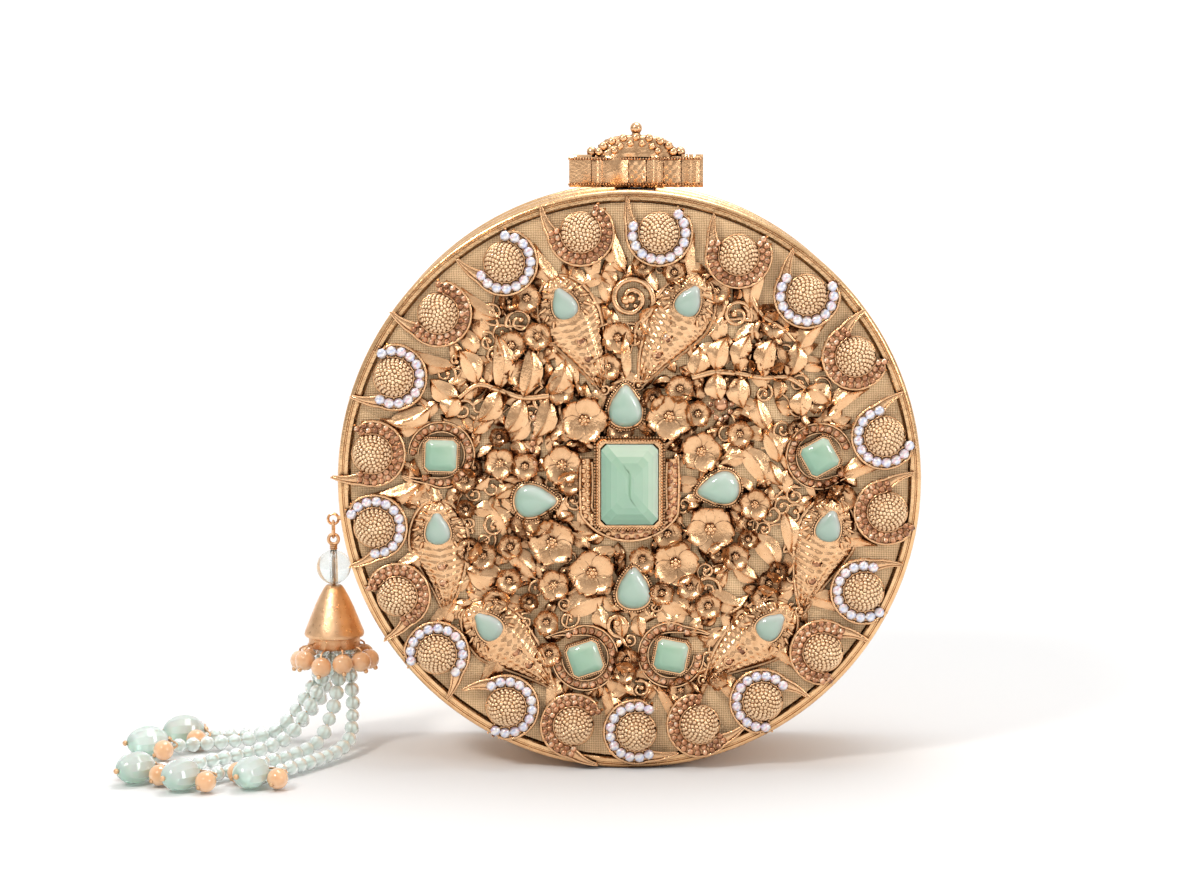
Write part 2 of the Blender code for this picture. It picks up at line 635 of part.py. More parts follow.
def make_paisley(number, finish):
    """Drop-shaped casting with a curled tail, a crowned face and a pear stone in its head."""
    *places, curl = PAISLEYS[number]
    x, z, tail_x, tail_z = placed(*places)
    length = math.hypot(tail_x - x, tail_z - z)
    direction = math.degrees(math.atan2(tail_z - z, tail_x - x))
    lean = math.acos(PAISLEY_HEAD_RADIUS / length)
    halves = [0, 5, 14, 32, math.degrees(lean), 105, 143]
    turns = halves + [180] + [-turn for turn in reversed(halves[1:])]
    samples = []
    for turn in turns:
        away = abs(math.radians(turn))
        radius = PAISLEY_HEAD_RADIUS if away >= lean else PAISLEY_HEAD_RADIUS / math.cos(away - lean)
        bend = PAISLEY_CURL_ANGLE * curl * (radius / length) ** 2
        samples.append((turn + bend, radius))
    outline = polar(samples, direction, 1)
    raised = scaled(capped(outline, PAISLEY_HEAD_RADIUS * PAISLEY_NECK_SHARE), PAISLEY_RAISED_SHARE)
    slim = PAISLEY_STONE_WIDTH / PAISLEY_STONE_LENGTH
    along = (math.cos(math.radians(direction)), math.sin(math.radians(direction)))
    stone = []
    for turn in turns:
        up = -math.cos(math.radians(turn)) * PAISLEY_STONE_LENGTH / 2
        out = math.sin(math.radians(turn)) * PAISLEY_STONE_LENGTH / 2 * slim
        stone.append((-up * along[0] - out * along[1], -up * along[1] + out * along[0]))
    rings = [
        face_ring(x, z, outline, 0, ORNAMENT_SEAT),
        face_ring(x, z, outline, PAISLEY_EDGE_HEIGHT, ORNAMENT_SEAT),
        face_ring(x, z, raised, PAISLEY_CROWN_HEIGHT, ORNAMENT_SEAT),
        face_ring(x, z, stone, PAISLEY_CROWN_HEIGHT, ORNAMENT_SEAT),
        face_ring(x, z, scaled(stone, PAISLEY_STONE_SHARE), PAISLEY_STONE_HEIGHT, ORNAMENT_SEAT),
    ]
    return stacked(f"paisley_{number + 1}", rings, finish, None, 50)


def rectangle_ring(width, length, corner, count_side=3):
    """Rectangle with cut corners, walked so that rings of different sizes pair up."""
    half_w, half_l = width / 2, length / 2
    corners = [(half_w, half_l - corner), (half_w - corner, half_l), (-half_w + corner, half_l),
               (-half_w, half_l - corner), (-half_w, -half_l + corner), (-half_w + corner, -half_l),
               (half_w - corner, -half_l), (half_w, -half_l + corner)]
    ring = []
    for i, (a, b) in enumerate(zip(corners, corners[1:] + corners[:1])):
        pieces = count_side if i % 2 else 1
        for k in range(pieces):
            t = k / pieces
            ring.append((a[0] + (b[0] - a[0]) * t, a[1] + (b[1] - a[1]) * t))
    return ring


def make_centre_setting(finish):
    """Raised rectangular bezel with an open seat, and a low crescent round its lower half."""
    width = CENTRE_STONE_WIDTH + 2 * (SEAT_GAP + CENTRE_BEZEL)
    length = CENTRE_STONE_LENGTH + 2 * (SEAT_GAP + CENTRE_BEZEL)
    wall = rectangle_ring(width, length, CENTRE_STONE_CORNER)
    seat = rectangle_ring(width - 2 * CENTRE_BEZEL, length - 2 * CENTRE_BEZEL, CENTRE_STONE_CORNER)
    skirt = []
    for dx, dz in wall:
        reach = math.hypot(dx, dz)
        wanted = CENTRE_CRESCENT_RADIUS if dz < length * CENTRE_CRESCENT_SHARE else 0
        factor = max(CENTRE_SKIRT_SHARE, wanted / reach)
        skirt.append((dx * factor, dz * factor))
    low = CENTRE_SKIRT_HEIGHT
    rings = [
        face_ring(0, 0, skirt, 0, ORNAMENT_SEAT),
        face_ring(0, 0, skirt, low, ORNAMENT_SEAT),
        face_ring(0, 0, wall, low, ORNAMENT_SEAT),
        face_ring(0, 0, wall, CENTRE_BEZEL_HEIGHT, ORNAMENT_SEAT),
        face_ring(0, 0, seat, CENTRE_BEZEL_HEIGHT, ORNAMENT_SEAT),
        face_ring(0, 0, seat, CENTRE_SEAT_HEIGHT, ORNAMENT_SEAT),
    ]
    return stacked("centre_setting", rings, finish)


def make_centre_stone(finish):
    """Emerald-cut stone: straight girdle, two rows of stepped facets and a flat table."""
    facet_top = (CENTRE_BEZEL_HEIGHT + 2 * CENTRE_STONE_TOP) / 3
    rings = []
    for inset, height in [(0, CENTRE_SEAT_HEIGHT + SEAT_GAP), (0, CENTRE_BEZEL_HEIGHT),
                          (CENTRE_FACET_INSET, facet_top), (CENTRE_TABLE_INSET, CENTRE_STONE_TOP)]:
        outline = rectangle_ring(CENTRE_STONE_WIDTH - 2 * inset, CENTRE_STONE_LENGTH - 2 * inset,
                                 CENTRE_STONE_CORNER, 1)
        rings.append(face_ring(0, 0, outline, height, ORNAMENT_SEAT))
    return stacked("centre_stone", rings, finish)


def panel_root():
    """How far a piece that is fused to the panel starts below the panel's face."""
    return -PANEL_THICKNESS / 4


def make_pear(x, z, point_deg, finish):
    bezel = pear_outline(PEAR_LENGTH, PEAR_WIDTH, point_deg, PEAR_SIDES)
    rings = [face_ring(x, z, bezel, panel_root(), PANEL_FACE),
             face_ring(x, z, bezel, PEAR_BEZEL_HEIGHT, PANEL_FACE),
             face_ring(x, z, scaled(bezel, 0.5), PEAR_HEIGHT, PANEL_FACE)]
    return stacked("pear", rings, finish)


def make_flower(x, z, size, start_deg, finish):
    """Five-petalled flower with a raised middle."""
    points = FLOWER_PETALS * 3
    samples = []
    for i in range(points):
        share = FLOWER_NOTCH_SHARE if i % 3 == 0 else 1.0
        samples.append((i * 360 / points, FLOWER_RADIUS * size * share))
    outline = polar(samples, start_deg, 1)
    rings = [face_ring(x, z, outline, panel_root(), PANEL_FACE),
             face_ring(x, z, outline, FLOWER_EDGE_HEIGHT * size, PANEL_FACE)]
    apex = face_ring(x, z, [(0, 0)], FLOWER_HEIGHT * size, PANEL_FACE)[0]
    return stacked("flower", rings, finish, apex)


def make_leaf(base, tip, root, seat, finish, lift=0.0):
    """Pointed leaf with a raised middle, from its base to its tip; lift layers it over others."""
    length = math.hypot(tip[0] - base[0], tip[1] - base[1])
    direction = math.atan2(tip[1] - base[1], tip[0] - base[0])
    half = length * LEAF_SLENDERNESS
    shape = [(-0.5, 0.0), (-0.28, 0.7), (0.02, 1.0), (0.3, 0.6), (0.5, 0.0), (0.3, -0.6), (0.02, -1.0),
             (-0.28, -0.7)]
    outline = []
    for along, side in shape:
        u, v = along * length, side * half
        outline.append((u * math.cos(direction) - v * math.sin(direction),
                        u * math.sin(direction) + v * math.cos(direction)))
    x, z = (base[0] + tip[0]) / 2, (base[1] + tip[1]) / 2
    rings = [face_ring(x, z, outline, root + lift, seat),
             face_ring(x, z, outline, LEAF_EDGE_HEIGHT + lift, seat)]
    apex = face_ring(x, z, [(0, 0)], LEAF_RIDGE_HEIGHT + lift, seat)[0]
    return stacked("leaf", rings, finish, apex)


def make_scroll(finish):
    """Spiral of wire that lies on the panel."""
    points = []
    depth = -(PANEL_FACE + SCROLL_WIRE * SCROLL_WIRE_SHARE)
    for i in range(SCROLL_POINT_COUNT):
        t = i / (SCROLL_POINT_COUNT - 1)
        angle = 2 * math.pi * SCROLL_TURNS * t
        radius = SCROLL_RADIUS * (1 - SCROLL_CLOSING_SHARE * t)
        points.append(Vector((SCROLL_X + radius * math.cos(angle), depth,
                              CENTRE_Z + SCROLL_Z + radius * math.sin(angle))))
    return wire_mesh("scroll", points, SCROLL_WIRE, finish)


def make_front_panel(finish):
    """Fabric-covered disc with the small pears, flowers and leaves that are fixed to it."""
    panel = make_panel("front_panel", -1, finish)
    pieces = [make_pear(*placed(x, z), point_deg, finish) for x, z, point_deg in PEARS]
    for i, (x, z, size) in enumerate(FLOWERS):
        pieces.append(make_flower(*placed(x, z), size, FLOWER_TURN_ANGLE * i, finish))
    for base_x, base_z, tip_x, tip_z in PANEL_LEAVES:
        base, tip = placed(base_x, base_z), placed(tip_x, tip_z)
        pieces.append(make_leaf(base, tip, panel_root(), PANEL_FACE, finish))
    pieces.append(make_scroll(finish))
    return join_all(panel, pieces)


def make_spray(name, stem, leaves, finish):
    """Cast twig with leaves that grow from the points of its stem."""
    depth = -(ORNAMENT_SEAT + STEM_RADIUS + STEM_RISE)
    stem = [placed(x, z) for x, z in stem]
    points = [Vector((x, depth, CENTRE_Z + z)) for x, z in stem]
    twig = wire_mesh(name, smooth_path(points, len(points) + 1), STEM_RADIUS, finish)
    root = STEM_RISE + LEAF_SINK
    pieces = []
    for order, (index, *tip) in enumerate(leaves):
        tip_x, tip_z = placed(*tip)
        inner = stem[min(max(index, 1), len(stem) - 2)]
        root_x = stem[index][0] + (inner[0] - stem[index][0]) * LEAF_ROOT_SHARE
        root_z = stem[index][1] + (inner[1] - stem[index][1]) * LEAF_ROOT_SHARE
        back = STEM_RADIUS / math.hypot(tip_x - root_x, tip_z - root_z)
        base = (root_x - (tip_x - root_x) * back, root_z - (tip_z - root_z) * back)
        pieces.append(make_leaf(base, (tip_x, tip_z), root, ORNAMENT_SEAT, finish, LEAF_LAYER * order))
    return join_all(twig, pieces)


def clasp_levels():
    """Heights of the clasp's seat on the back wall, its base top and its pivot."""
    wall_top = CENTRE_Z + (CASE_RADIUS - GROOVE_DEPTH) * FACET
    seat = wall_top + SEAT_GAP
    return seat, seat + CLASP_BASE_THICKNESS, wall_top + CLASP_PIVOT_RISE


def make_clasp_base(finish):
    """Plate on the back half with two ears that hold the clasp's pin."""
    seat, top, pivot = clasp_levels()
    half = CLASP_BARREL_LENGTH / 2 + SEAT_GAP + CLASP_EAR_WIDTH
    front = SEAM_BEAD_WIDTH + BEAD_SLOPE + SEAT_GAP
    base = block("clasp_base", (CROWN_X - half, front, seat),
                 (CROWN_X + half, front + CLASP_BASE_DEPTH, top), finish)
    for side in (-1, 1):
        inner = CROWN_X + side * (half - CLASP_EAR_WIDTH)
        outer = CROWN_X + side * half
        low = (min(inner, outer), CLASP_PIVOT_Y - CLASP_BARREL_RADIUS, seat + CLASP_BASE_THICKNESS / 2)
        high = (max(inner, outer), CLASP_PIVOT_Y + CLASP_BARREL_RADIUS, pivot + CLASP_BARREL_RADIUS)
        ear = block("ear", low, high, finish)
        combine(base, ear, "UNION")
    bore = rod("bore", (CROWN_X - 2 * half, CLASP_PIVOT_Y, pivot), (CROWN_X + 2 * half, CLASP_PIVOT_Y, pivot),
               CLASP_PIN_RADIUS + PIN_CLEARANCE, HINGE_SIDES, finish)
    combine(base, bore, "DIFFERENCE")
    return base


def make_clasp_pin(finish):
    pivot = clasp_levels()[2]
    half = CLASP_BARREL_LENGTH / 2 + SEAT_GAP + CLASP_EAR_WIDTH
    return rod("clasp_pin", (CROWN_X - half, CLASP_PIVOT_Y, pivot), (CROWN_X + half, CLASP_PIVOT_Y, pivot),
               CLASP_PIN_RADIUS, HINGE_SIDES, finish)


def make_crown(finish):
    """Cast crown: fluted band, domed top with a ball finial, and a floor that runs back to the pivot."""
    top_of_base, pivot = clasp_levels()[1:]
    low = TOP_Z + SEAT_GAP
    half = CROWN_WIDTH / 2
    back = CROWN_FRONT - CROWN_BAND_DEPTH
    crown = block("crown_clasp", (CROWN_X - half, -CROWN_FRONT, low),
                  (CROWN_X + half, -back, low + CROWN_BAND_HEIGHT), finish)
    pitch = CROWN_WIDTH / CROWN_FLUTES
    for i in range(CROWN_FLUTES):
        x = CROWN_X - half + pitch * (i + 0.5)
        share = CROWN_FLUTE_LOW_SHARE if i % 2 else CROWN_FLUTE_HIGH_SHARE
        radius = pitch * CROWN_FLUTE_SHARE
        y = radius - CROWN_FRONT - CROWN_FLUTE_PROUD
        flute = rod("flute", (x, y, low + SEAT_GAP), (x, y, low + CROWN_BAND_HEIGHT * share), radius,
                    CROWN_FLUTE_SIDES, finish)
        combine(crown, flute, "UNION")
    dome = turned("dome", [(0, -0.35), (0.72, -0.2), (1.0, 0.12), (0.82, 0.62), (0.42, 0.95), (0, 1.0)],
                  (0, 0, 0), 12, finish)
    dome_depth = CROWN_BAND_DEPTH * CROWN_DOME_DEPTH_SHARE
    dome.data.transform(Matrix.Diagonal((CROWN_DOME_WIDTH / 2, dome_depth, CROWN_DOME_HEIGHT, 1)))
    middle = -(CROWN_FRONT + back) / 2
    move_mesh(dome, (CROWN_X, middle, low + CROWN_BAND_HEIGHT))
    combine(crown, dome, "UNION")
    ball = [(0, -1.0), (0.8, -0.6), (1.0, 0.0), (0.8, 0.6), (0, 1.0)]
    finial = turned("finial", ball, (0, 0, 0), 8, finish)
    finial.data.transform(Matrix.Scale(FINIAL_RADIUS, 4))
    finial_z = low + CROWN_BAND_HEIGHT + CROWN_DOME_HEIGHT + FINIAL_RADIUS - FINIAL_SINK
    move_mesh(finial, (CROWN_X, middle, finial_z))
    combine(crown, finial, "UNION")
    floor_low = top_of_base + SEAT_GAP
    floor_half = CLASP_BARREL_LENGTH / 2
    floor = block("floor", (CROWN_X - floor_half, -back - CROWN_BAND_DEPTH / 2, floor_low),
                  (CROWN_X + floor_half, CLASP_PIVOT_Y, floor_low + CLASP_FLOOR_THICKNESS), finish)
    combine(crown, floor, "UNION")
    barrel = rod("barrel", (CROWN_X - floor_half, CLASP_PIVOT_Y, pivot),
                 (CROWN_X + floor_half, CLASP_PIVOT_Y, pivot), CLASP_BARREL_RADIUS, HINGE_SIDES, finish)
    combine(crown, barrel, "UNION")
    bore = rod("bore", (CROWN_X - half, CLASP_PIVOT_Y, pivot), (CROWN_X + half, CLASP_PIVOT_Y, pivot),
               CLASP_PIN_RADIUS + PIN_CLEARANCE, HINGE_SIDES, finish)
    combine(crown, bore, "DIFFERENCE")
    return crown


def keeper_span():
    """Distances of the keeper plate's front and back edges from the seam."""
    back = SEAM + KEEPER_SETBACK + SEAT_GAP
    return back + KEEPER_DEPTH, back


def make_magnet(finish):
    """Disc magnet under the clasp's floor, just clear of the keeper."""
    front, back = keeper_span()
    y = -(front + back) / 2
    top = clasp_levels()[1]
    return rod("clasp_magnet", (CROWN_X, y, TOP_Z), (CROWN_X, y, top), MAGNET_RADIUS, TURN_SIDES, finish)


def make_keeper(finish):
    """Steel plate let into the top of the front half."""
    front, back = keeper_span()
    top = TOP_Z - SEAT_GAP
    return block("keeper_plate", (CROWN_X - KEEPER_WIDTH / 2, -front, top - KEEPER_THICKNESS),
                 (CROWN_X + KEEPER_WIDTH / 2, -back, top), finish)


def cut_keeper_pocket(band, finish):
    front, back = keeper_span()
    half = KEEPER_WIDTH / 2 + SEAT_GAP
    low = TOP_Z - 2 * SEAT_GAP - KEEPER_THICKNESS
    pocket = block("pocket", (CROWN_X - half, -front - SEAT_GAP, low),
                   (CROWN_X + half, -back + SEAT_GAP, TOP_Z + BAND_WALL), finish)
    combine(band, pocket, "DIFFERENCE")


def eye_centre():
    angle = math.radians(EYE_ANGLE)
    reach = CASE_RADIUS + EYE_STANDOFF
    return Vector((reach * math.cos(angle), EYE_Y, CENTRE_Z + reach * math.sin(angle)))


def make_side_eye(finish):
    """Stem on the back half's wall with a ring for the tassel's link."""
    angle = math.radians(EYE_ANGLE)
    out = Vector((math.cos(angle), 0, math.sin(angle)))
    start = Vector((0, EYE_Y, CENTRE_Z)) + out * (CASE_RADIUS - GROOVE_DEPTH + SEAT_GAP)
    centre = eye_centre()
    stem = rod("side_eye", start, centre - out * EYE_RING_RADIUS, EYE_WIRE * 1.5, 8, finish)
    loop = loop_points(centre, EYE_RING_RADIUS, EYE_RING_RADIUS, "XZ", TURN_SIDES)
    ring = wire_mesh("ring", loop, EYE_WIRE, finish, True)
    combine(stem, ring, "UNION")
    return stem


def link_centre():
    top = eye_centre() - Vector((0, 0, EYE_RING_RADIUS - EYE_WIRE - LINK_WIRE - LINK_PLAY))
    return top - Vector((0, 0, LINK_HEIGHT / 2))


def make_link(finish):
    """Oval link that hangs in the side eye."""
    loop = loop_points(link_centre(), LINK_WIDTH / 2, LINK_HEIGHT / 2, "YZ", TURN_SIDES)
    return wire_mesh("tassel_ring", loop, LINK_WIRE, finish, True)


def swing_centre():
    """Middle of the wire where the tassel's own eye rests in the bottom of the link."""
    bottom = link_centre() - Vector((0, 0, LINK_HEIGHT / 2))
    return bottom + Vector((0, 0, LINK_WIRE + WIRE_RADIUS + LINK_PLAY))


def wire_eye_centre():
    return swing_centre() - Vector((0, 0, WIRE_EYE_RADIUS))


def tassel_levels():
    """Heights of the clear bead's middle, the cap's top, its widest edge and its skirt's edge."""
    bead = wire_eye_centre().z - WIRE_EYE_RADIUS - SEAT_GAP - WIRE_WRAP_HEIGHT - CLEAR_BEAD_RADIUS
    cap_top = bead - CLEAR_BEAD_RADIUS - SEAT_GAP
    cap_base = cap_top - CAP_HEIGHT
    return bead, cap_top, cap_base, cap_base - SKIRT_HEIGHT


def make_cap(finish):
    """Cone cap with a hollow skirt, and the wire that rises from it to the tassel's eye."""
    bead, top, base, skirt = tassel_levels()
    centre = wire_eye_centre()
    axis = (centre.x, centre.y, 0)
    profile = [(0, top), (CAP_TOP_RADIUS, top), (CAP_RADIUS - CAP_ROUNDING, base + 2 * CAP_ROUNDING),
               (CAP_RADIUS, base), (SKIRT_RADIUS, base - CAP_ROUNDING), (SKIRT_RADIUS, skirt),
               (CAP_HOLLOW_RADIUS, skirt), (CAP_HOLLOW_RADIUS, base), (0, base)]
    cap = turned("tassel_cap", profile, axis, TURN_SIDES, finish)
    wire = rod("wire", (centre.x, centre.y, top - CAP_TOP_RADIUS),
               (centre.x, centre.y, centre.z - WIRE_EYE_RADIUS), WIRE_RADIUS, 8, finish)
    loop = loop_points(centre, WIRE_EYE_RADIUS, WIRE_EYE_RADIUS, "XZ", TURN_SIDES)
    ring = wire_mesh("ring", loop, WIRE_RADIUS, finish, True)
    combine(wire, ring, "UNION")
    combine(cap, wire, "UNION")
    return cap


def make_clear_bead(finish):
    """Round bead threaded on the cap's wire."""
    level = tassel_levels()[0]
    centre = wire_eye_centre()
    bore = WIRE_RADIUS + WIRE_GAP
    profile = [(bore, -CLEAR_BEAD_RADIUS)]
    steps = 7
    for i in range(steps):
        angle = math.pi * (i + 0.6) / (steps + 0.2) - math.pi / 2
        profile.append((CLEAR_BEAD_RADIUS * math.cos(angle), CLEAR_BEAD_RADIUS * math.sin(angle)))
    profile.append((bore, CLEAR_BEAD_RADIUS))
    return turned("clear_bead", profile, (centre.x, centre.y, level), TURN_SIDES, finish)


def make_pearls(finish):
    """Ring of pearl beads that touch each other, under the cap's skirt."""
    centre = wire_eye_centre()
    level = tassel_levels()[3] - PEARL_DROP
    around = PEARL_COUNT * 2
    bm = bmesh.new()
    rows = []
    for i in range(around):
        angle = 2 * math.pi * i / around
        girth = PEARL_RADIUS if i % 2 else PEARL_RADIUS * PEARL_WAIST_SHARE
        row = []
        for k in range(PEARL_SIDES):
            turn = 2 * math.pi * k / PEARL_SIDES
            radius = PEARL_RING_RADIUS + girth * math.cos(turn)
            row.append(bm.verts.new((centre.x + radius * math.cos(angle), centre.y + radius * math.sin(angle),
                                     level + girth * math.sin(turn))))
        rows.append(row)
    for a, b in zip(rows, rows[1:] + rows[:1]):
        for k in range(PEARL_SIDES):
            j = (k + 1) % PEARL_SIDES
            bm.faces.new((a[k], b[k], b[j], a[j]))
    return mesh_from("pearl_cluster", bm, finish, 60)


def make_strand(number, finish):
    """Bead strand from inside the cap to the floor, with its end drop."""
    start_deg, way = STRANDS[number]
    centre = wire_eye_centre()
    bottom = tassel_levels()[3]
    x = centre.x + STRAND_RING_RADIUS * math.cos(math.radians(start_deg))
    y = centre.y + STRAND_RING_RADIUS * math.sin(math.radians(start_deg))
    clear = bottom - PEARL_DROP - PEARL_RADIUS - STRAND_RADIUS / 2
    points = [Vector((x, y, bottom - SEAT_GAP)), Vector((x, y, (bottom + clear) / 2)), Vector((x, y, clear))]
    points += [Vector((centre.x + dx, centre.y + dy, height)) for dx, dy, height in way]
    name = f"strand_{number + 1}"
    path = smooth_path(points, STRAND_POINT_COUNT)
    strand = wire_mesh(name, path, STRAND_RADIUS, finish, False, STRAND_SIDES)
    heading = (points[-1] - points[-2]).normalized()
    heading.z = 0
    oval = [(0, -1.0), (0.62, -0.75), (1.0, 0.0), (0.62, 0.75), (0, 1.0)]
    drop = turned("drop", oval, (0, 0, 0), 8, finish)
    drop.data.transform(Matrix.Diagonal((DROP_WIDTH / 2, DROP_WIDTH / 2, DROP_LENGTH / 2, 1)))
    drop.data.transform(heading.to_track_quat("Z", "Y").to_matrix().to_4x4())
    middle = points[-1] + heading * (DROP_LENGTH / 2 - STRAND_RADIUS / 2)
    middle.z = DROP_RISE
    move_mesh(drop, middle)
    combine(strand, drop, "UNION")
    return strand


def add_pivot(name, place, pieces):
    """Empty on a joint's axis that carries the pieces that move with it."""
    pivot = bpy.data.objects.new(name, None)
    bpy.context.scene.collection.objects.link(pivot)
    pivot.location = place
    for piece in pieces:
        piece.parent = pivot
        piece.matrix_parent_inverse = Matrix.Translation(-Vector(place))
    return pivot


def build():
    clear_scene()
    gold = material("antique_gold", (0.72, 0.48, 0.27), 0.35, 1.0)
    silk = material("gold_silk", (0.62, 0.43, 0.24), 0.7, 0.2)
    satin = material("lining_satin", (0.55, 0.42, 0.28), 0.6, 0.0)
    steel = material("steel", (0.6, 0.6, 0.6), 0.35, 1.0)
    mint = material("mint_stone", (0.45, 0.75, 0.62), 0.1, 0.0, 0.4)
    cap_gold = material("brushed_gold", (0.78, 0.52, 0.25), 0.45, 1.0)
    clear = material("clear_glass", (0.9, 0.95, 0.95), 0.03, 0.0, 0.9)
    peach = material("peach_pearl", (0.9, 0.55, 0.32), 0.3, 0.0)
    aqua = material("aqua_bead", (0.7, 0.85, 0.8), 0.1, 0.0, 0.5)

    make_band("back_band", 1, gold)
    make_panel("back_panel", 1, silk)
    make_lining("back_lining", 1, satin)
    make_hinge_leaf("back_hinge_leaf", 1, 0, gold)
    rod("hinge_pin", (-HINGE_LENGTH / 2, 0, HINGE_Z), (HINGE_LENGTH / 2, 0, HINGE_Z), PIN_RADIUS,
        HINGE_SIDES, steel)
    make_clasp_base(gold)
    make_clasp_pin(steel)
    make_side_eye(gold)

    front_band = make_band("front_band", -1, gold)
    cut_keeper_pocket(front_band, gold)
    front = [front_band, make_front_panel(silk), make_lining("front_lining", -1, satin),
             make_hinge_leaf("front_hinge_leaf", -1, 1, gold), make_keeper(steel)]
    front += [make_rim_setting(i, gold) for i in range(len(RIM_SETTINGS))]
    front += [make_square_setting(i, mint) for i in range(len(SQUARE_SETTINGS))]
    front += [make_paisley(i, gold) for i in range(len(PAISLEYS))]
    front += [make_centre_setting(gold), make_centre_stone(mint)]
    front += [make_spray("leaf_spray_left", LEFT_STEM, LEFT_LEAVES, gold),
              make_spray("leaf_spray_right", RIGHT_STEM, RIGHT_LEAVES, gold)]
    add_pivot("case_hinge_axis", (0, 0, HINGE_Z), front)

    clasp = [make_crown(gold), make_magnet(steel)]
    add_pivot("clasp_axis", (CROWN_X, CLASP_PIVOT_Y, clasp_levels()[2]), clasp)

    add_pivot("ring_axis", link_centre() + Vector((0, 0, LINK_HEIGHT / 2)), [make_link(gold)])
    tassel = [make_cap(cap_gold), make_clear_bead(clear), make_pearls(peach)]
    tassel += [make_strand(i, aqua) for i in range(len(STRANDS))]
    add_pivot("tassel_axis", swing_centre(), tassel)


build()
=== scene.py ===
import json
import math
import random

import bpy
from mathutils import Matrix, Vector


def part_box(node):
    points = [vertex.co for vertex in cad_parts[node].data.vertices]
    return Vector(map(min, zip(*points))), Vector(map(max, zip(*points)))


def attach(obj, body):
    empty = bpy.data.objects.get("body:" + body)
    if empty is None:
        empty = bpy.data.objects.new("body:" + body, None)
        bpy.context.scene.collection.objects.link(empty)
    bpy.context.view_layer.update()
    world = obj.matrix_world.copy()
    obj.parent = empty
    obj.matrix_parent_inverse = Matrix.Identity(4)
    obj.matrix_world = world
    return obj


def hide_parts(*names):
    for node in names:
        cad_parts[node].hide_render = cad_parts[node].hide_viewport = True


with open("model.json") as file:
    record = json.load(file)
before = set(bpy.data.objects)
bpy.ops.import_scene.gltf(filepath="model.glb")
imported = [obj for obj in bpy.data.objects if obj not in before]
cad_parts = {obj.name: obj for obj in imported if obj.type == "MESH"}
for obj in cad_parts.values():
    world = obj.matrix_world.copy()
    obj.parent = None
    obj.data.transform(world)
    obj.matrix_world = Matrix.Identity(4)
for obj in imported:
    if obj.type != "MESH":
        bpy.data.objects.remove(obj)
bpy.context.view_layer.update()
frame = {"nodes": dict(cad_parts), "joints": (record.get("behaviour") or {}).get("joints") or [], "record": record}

# Sizes in metres, in the frame's own axes: the decorated face looks along -Y
CASE_R = 0.080
CENTRE_Z = CASE_R * math.cos(math.pi / 40)
HALF_DEPTH = 0.025
PANEL_Y = 0.0235
PANEL_R = 0.0765
GROOVE = 0.0007
BAND_SEGMENTS = 480
HINGE_HALF = 0.0226
HINGE_CLEAR = 0.0035
LENS = 93.2
EYE = Vector((-0.00807, -0.8687, 0.1929))
AIM = Vector((-0.00807, -HALF_DEPTH, 0.0893))
BODY = {node: body for body, nodes in frame["record"]["behaviour"]["bodies"].items() for node in nodes}


# Camera and lights
def place_camera():
    camera = bpy.data.cameras.new("view")
    camera.lens = LENS
    camera.sensor_width = 36
    eye = bpy.data.objects.new("view", camera)
    bpy.context.scene.collection.objects.link(eye)
    eye.location = EYE
    eye.rotation_euler = (AIM - EYE).to_track_quat("-Z", "Y").to_euler()
    bpy.context.scene.camera = eye


def area_light(name, place, aim, size, power, colour=(1, 1, 1)):
    light = bpy.data.lights.new(name, "AREA")
    light.energy = power
    light.size = size
    light.color = colour
    lamp = bpy.data.objects.new(name, light)
    bpy.context.scene.collection.objects.link(lamp)
    lamp.location = place
    lamp.rotation_euler = (Vector(aim) - Vector(place)).to_track_quat("-Z", "Y").to_euler()


def set_world():
    """Pale studio room: brighter above than at eye height."""
    world = bpy.data.worlds.new("studio")
    bpy.context.scene.world = world
    world.use_nodes = True
    tree = world.node_tree
    background = tree.nodes["Background"]
    background.inputs["Strength"].default_value = 0.85
    direction = tree.nodes.new("ShaderNodeTexCoord")
    split = tree.nodes.new("ShaderNodeSeparateXYZ")
    tree.links.new(direction.outputs["Generated"], split.inputs[0])
    ramp = tree.nodes.new("ShaderNodeValToRGB")
    level, above = ramp.color_ramp.elements
    level.position = 0.0
    level.color = (0.42, 0.40, 0.38, 1)
    above.position = 0.75
    above.color = (1, 1, 1, 1)
    tree.links.new(split.outputs["Z"], ramp.inputs[0])
    tree.links.new(ramp.outputs[0], background.inputs["Color"])
    bpy.context.scene.view_settings.view_transform = "Standard"


def paper_material():
    """White paper with painted light of its own, an emission that grows with distance from the centre, so that it
    keeps its brightness far from the lamps.
    """
    made = plain_material("paper", (0.78, 0.78, 0.78), 0.9, 0)
    n = Nodes(made)
    reach = n.add("ShaderNodeVectorMath", operation="LENGTH")
    n.link(n.coords, reach.inputs[0])
    far = n.add("ShaderNodeMapRange")
    n.link(reach.outputs["Value"], far.inputs["Value"])
    for name, value in (("From Min", 0.2), ("From Max", 1.5), ("To Min", 0.0), ("To Max", 0.50)):
        far.inputs[name].default_value = value
    # Painted light: white emission whose strength rises with distance from the centre.
    n.set(Emission_Color=(1, 1, 1, 1))
    n.link(far.outputs["Result"], n.shader.inputs["Emission Strength"])
    return made


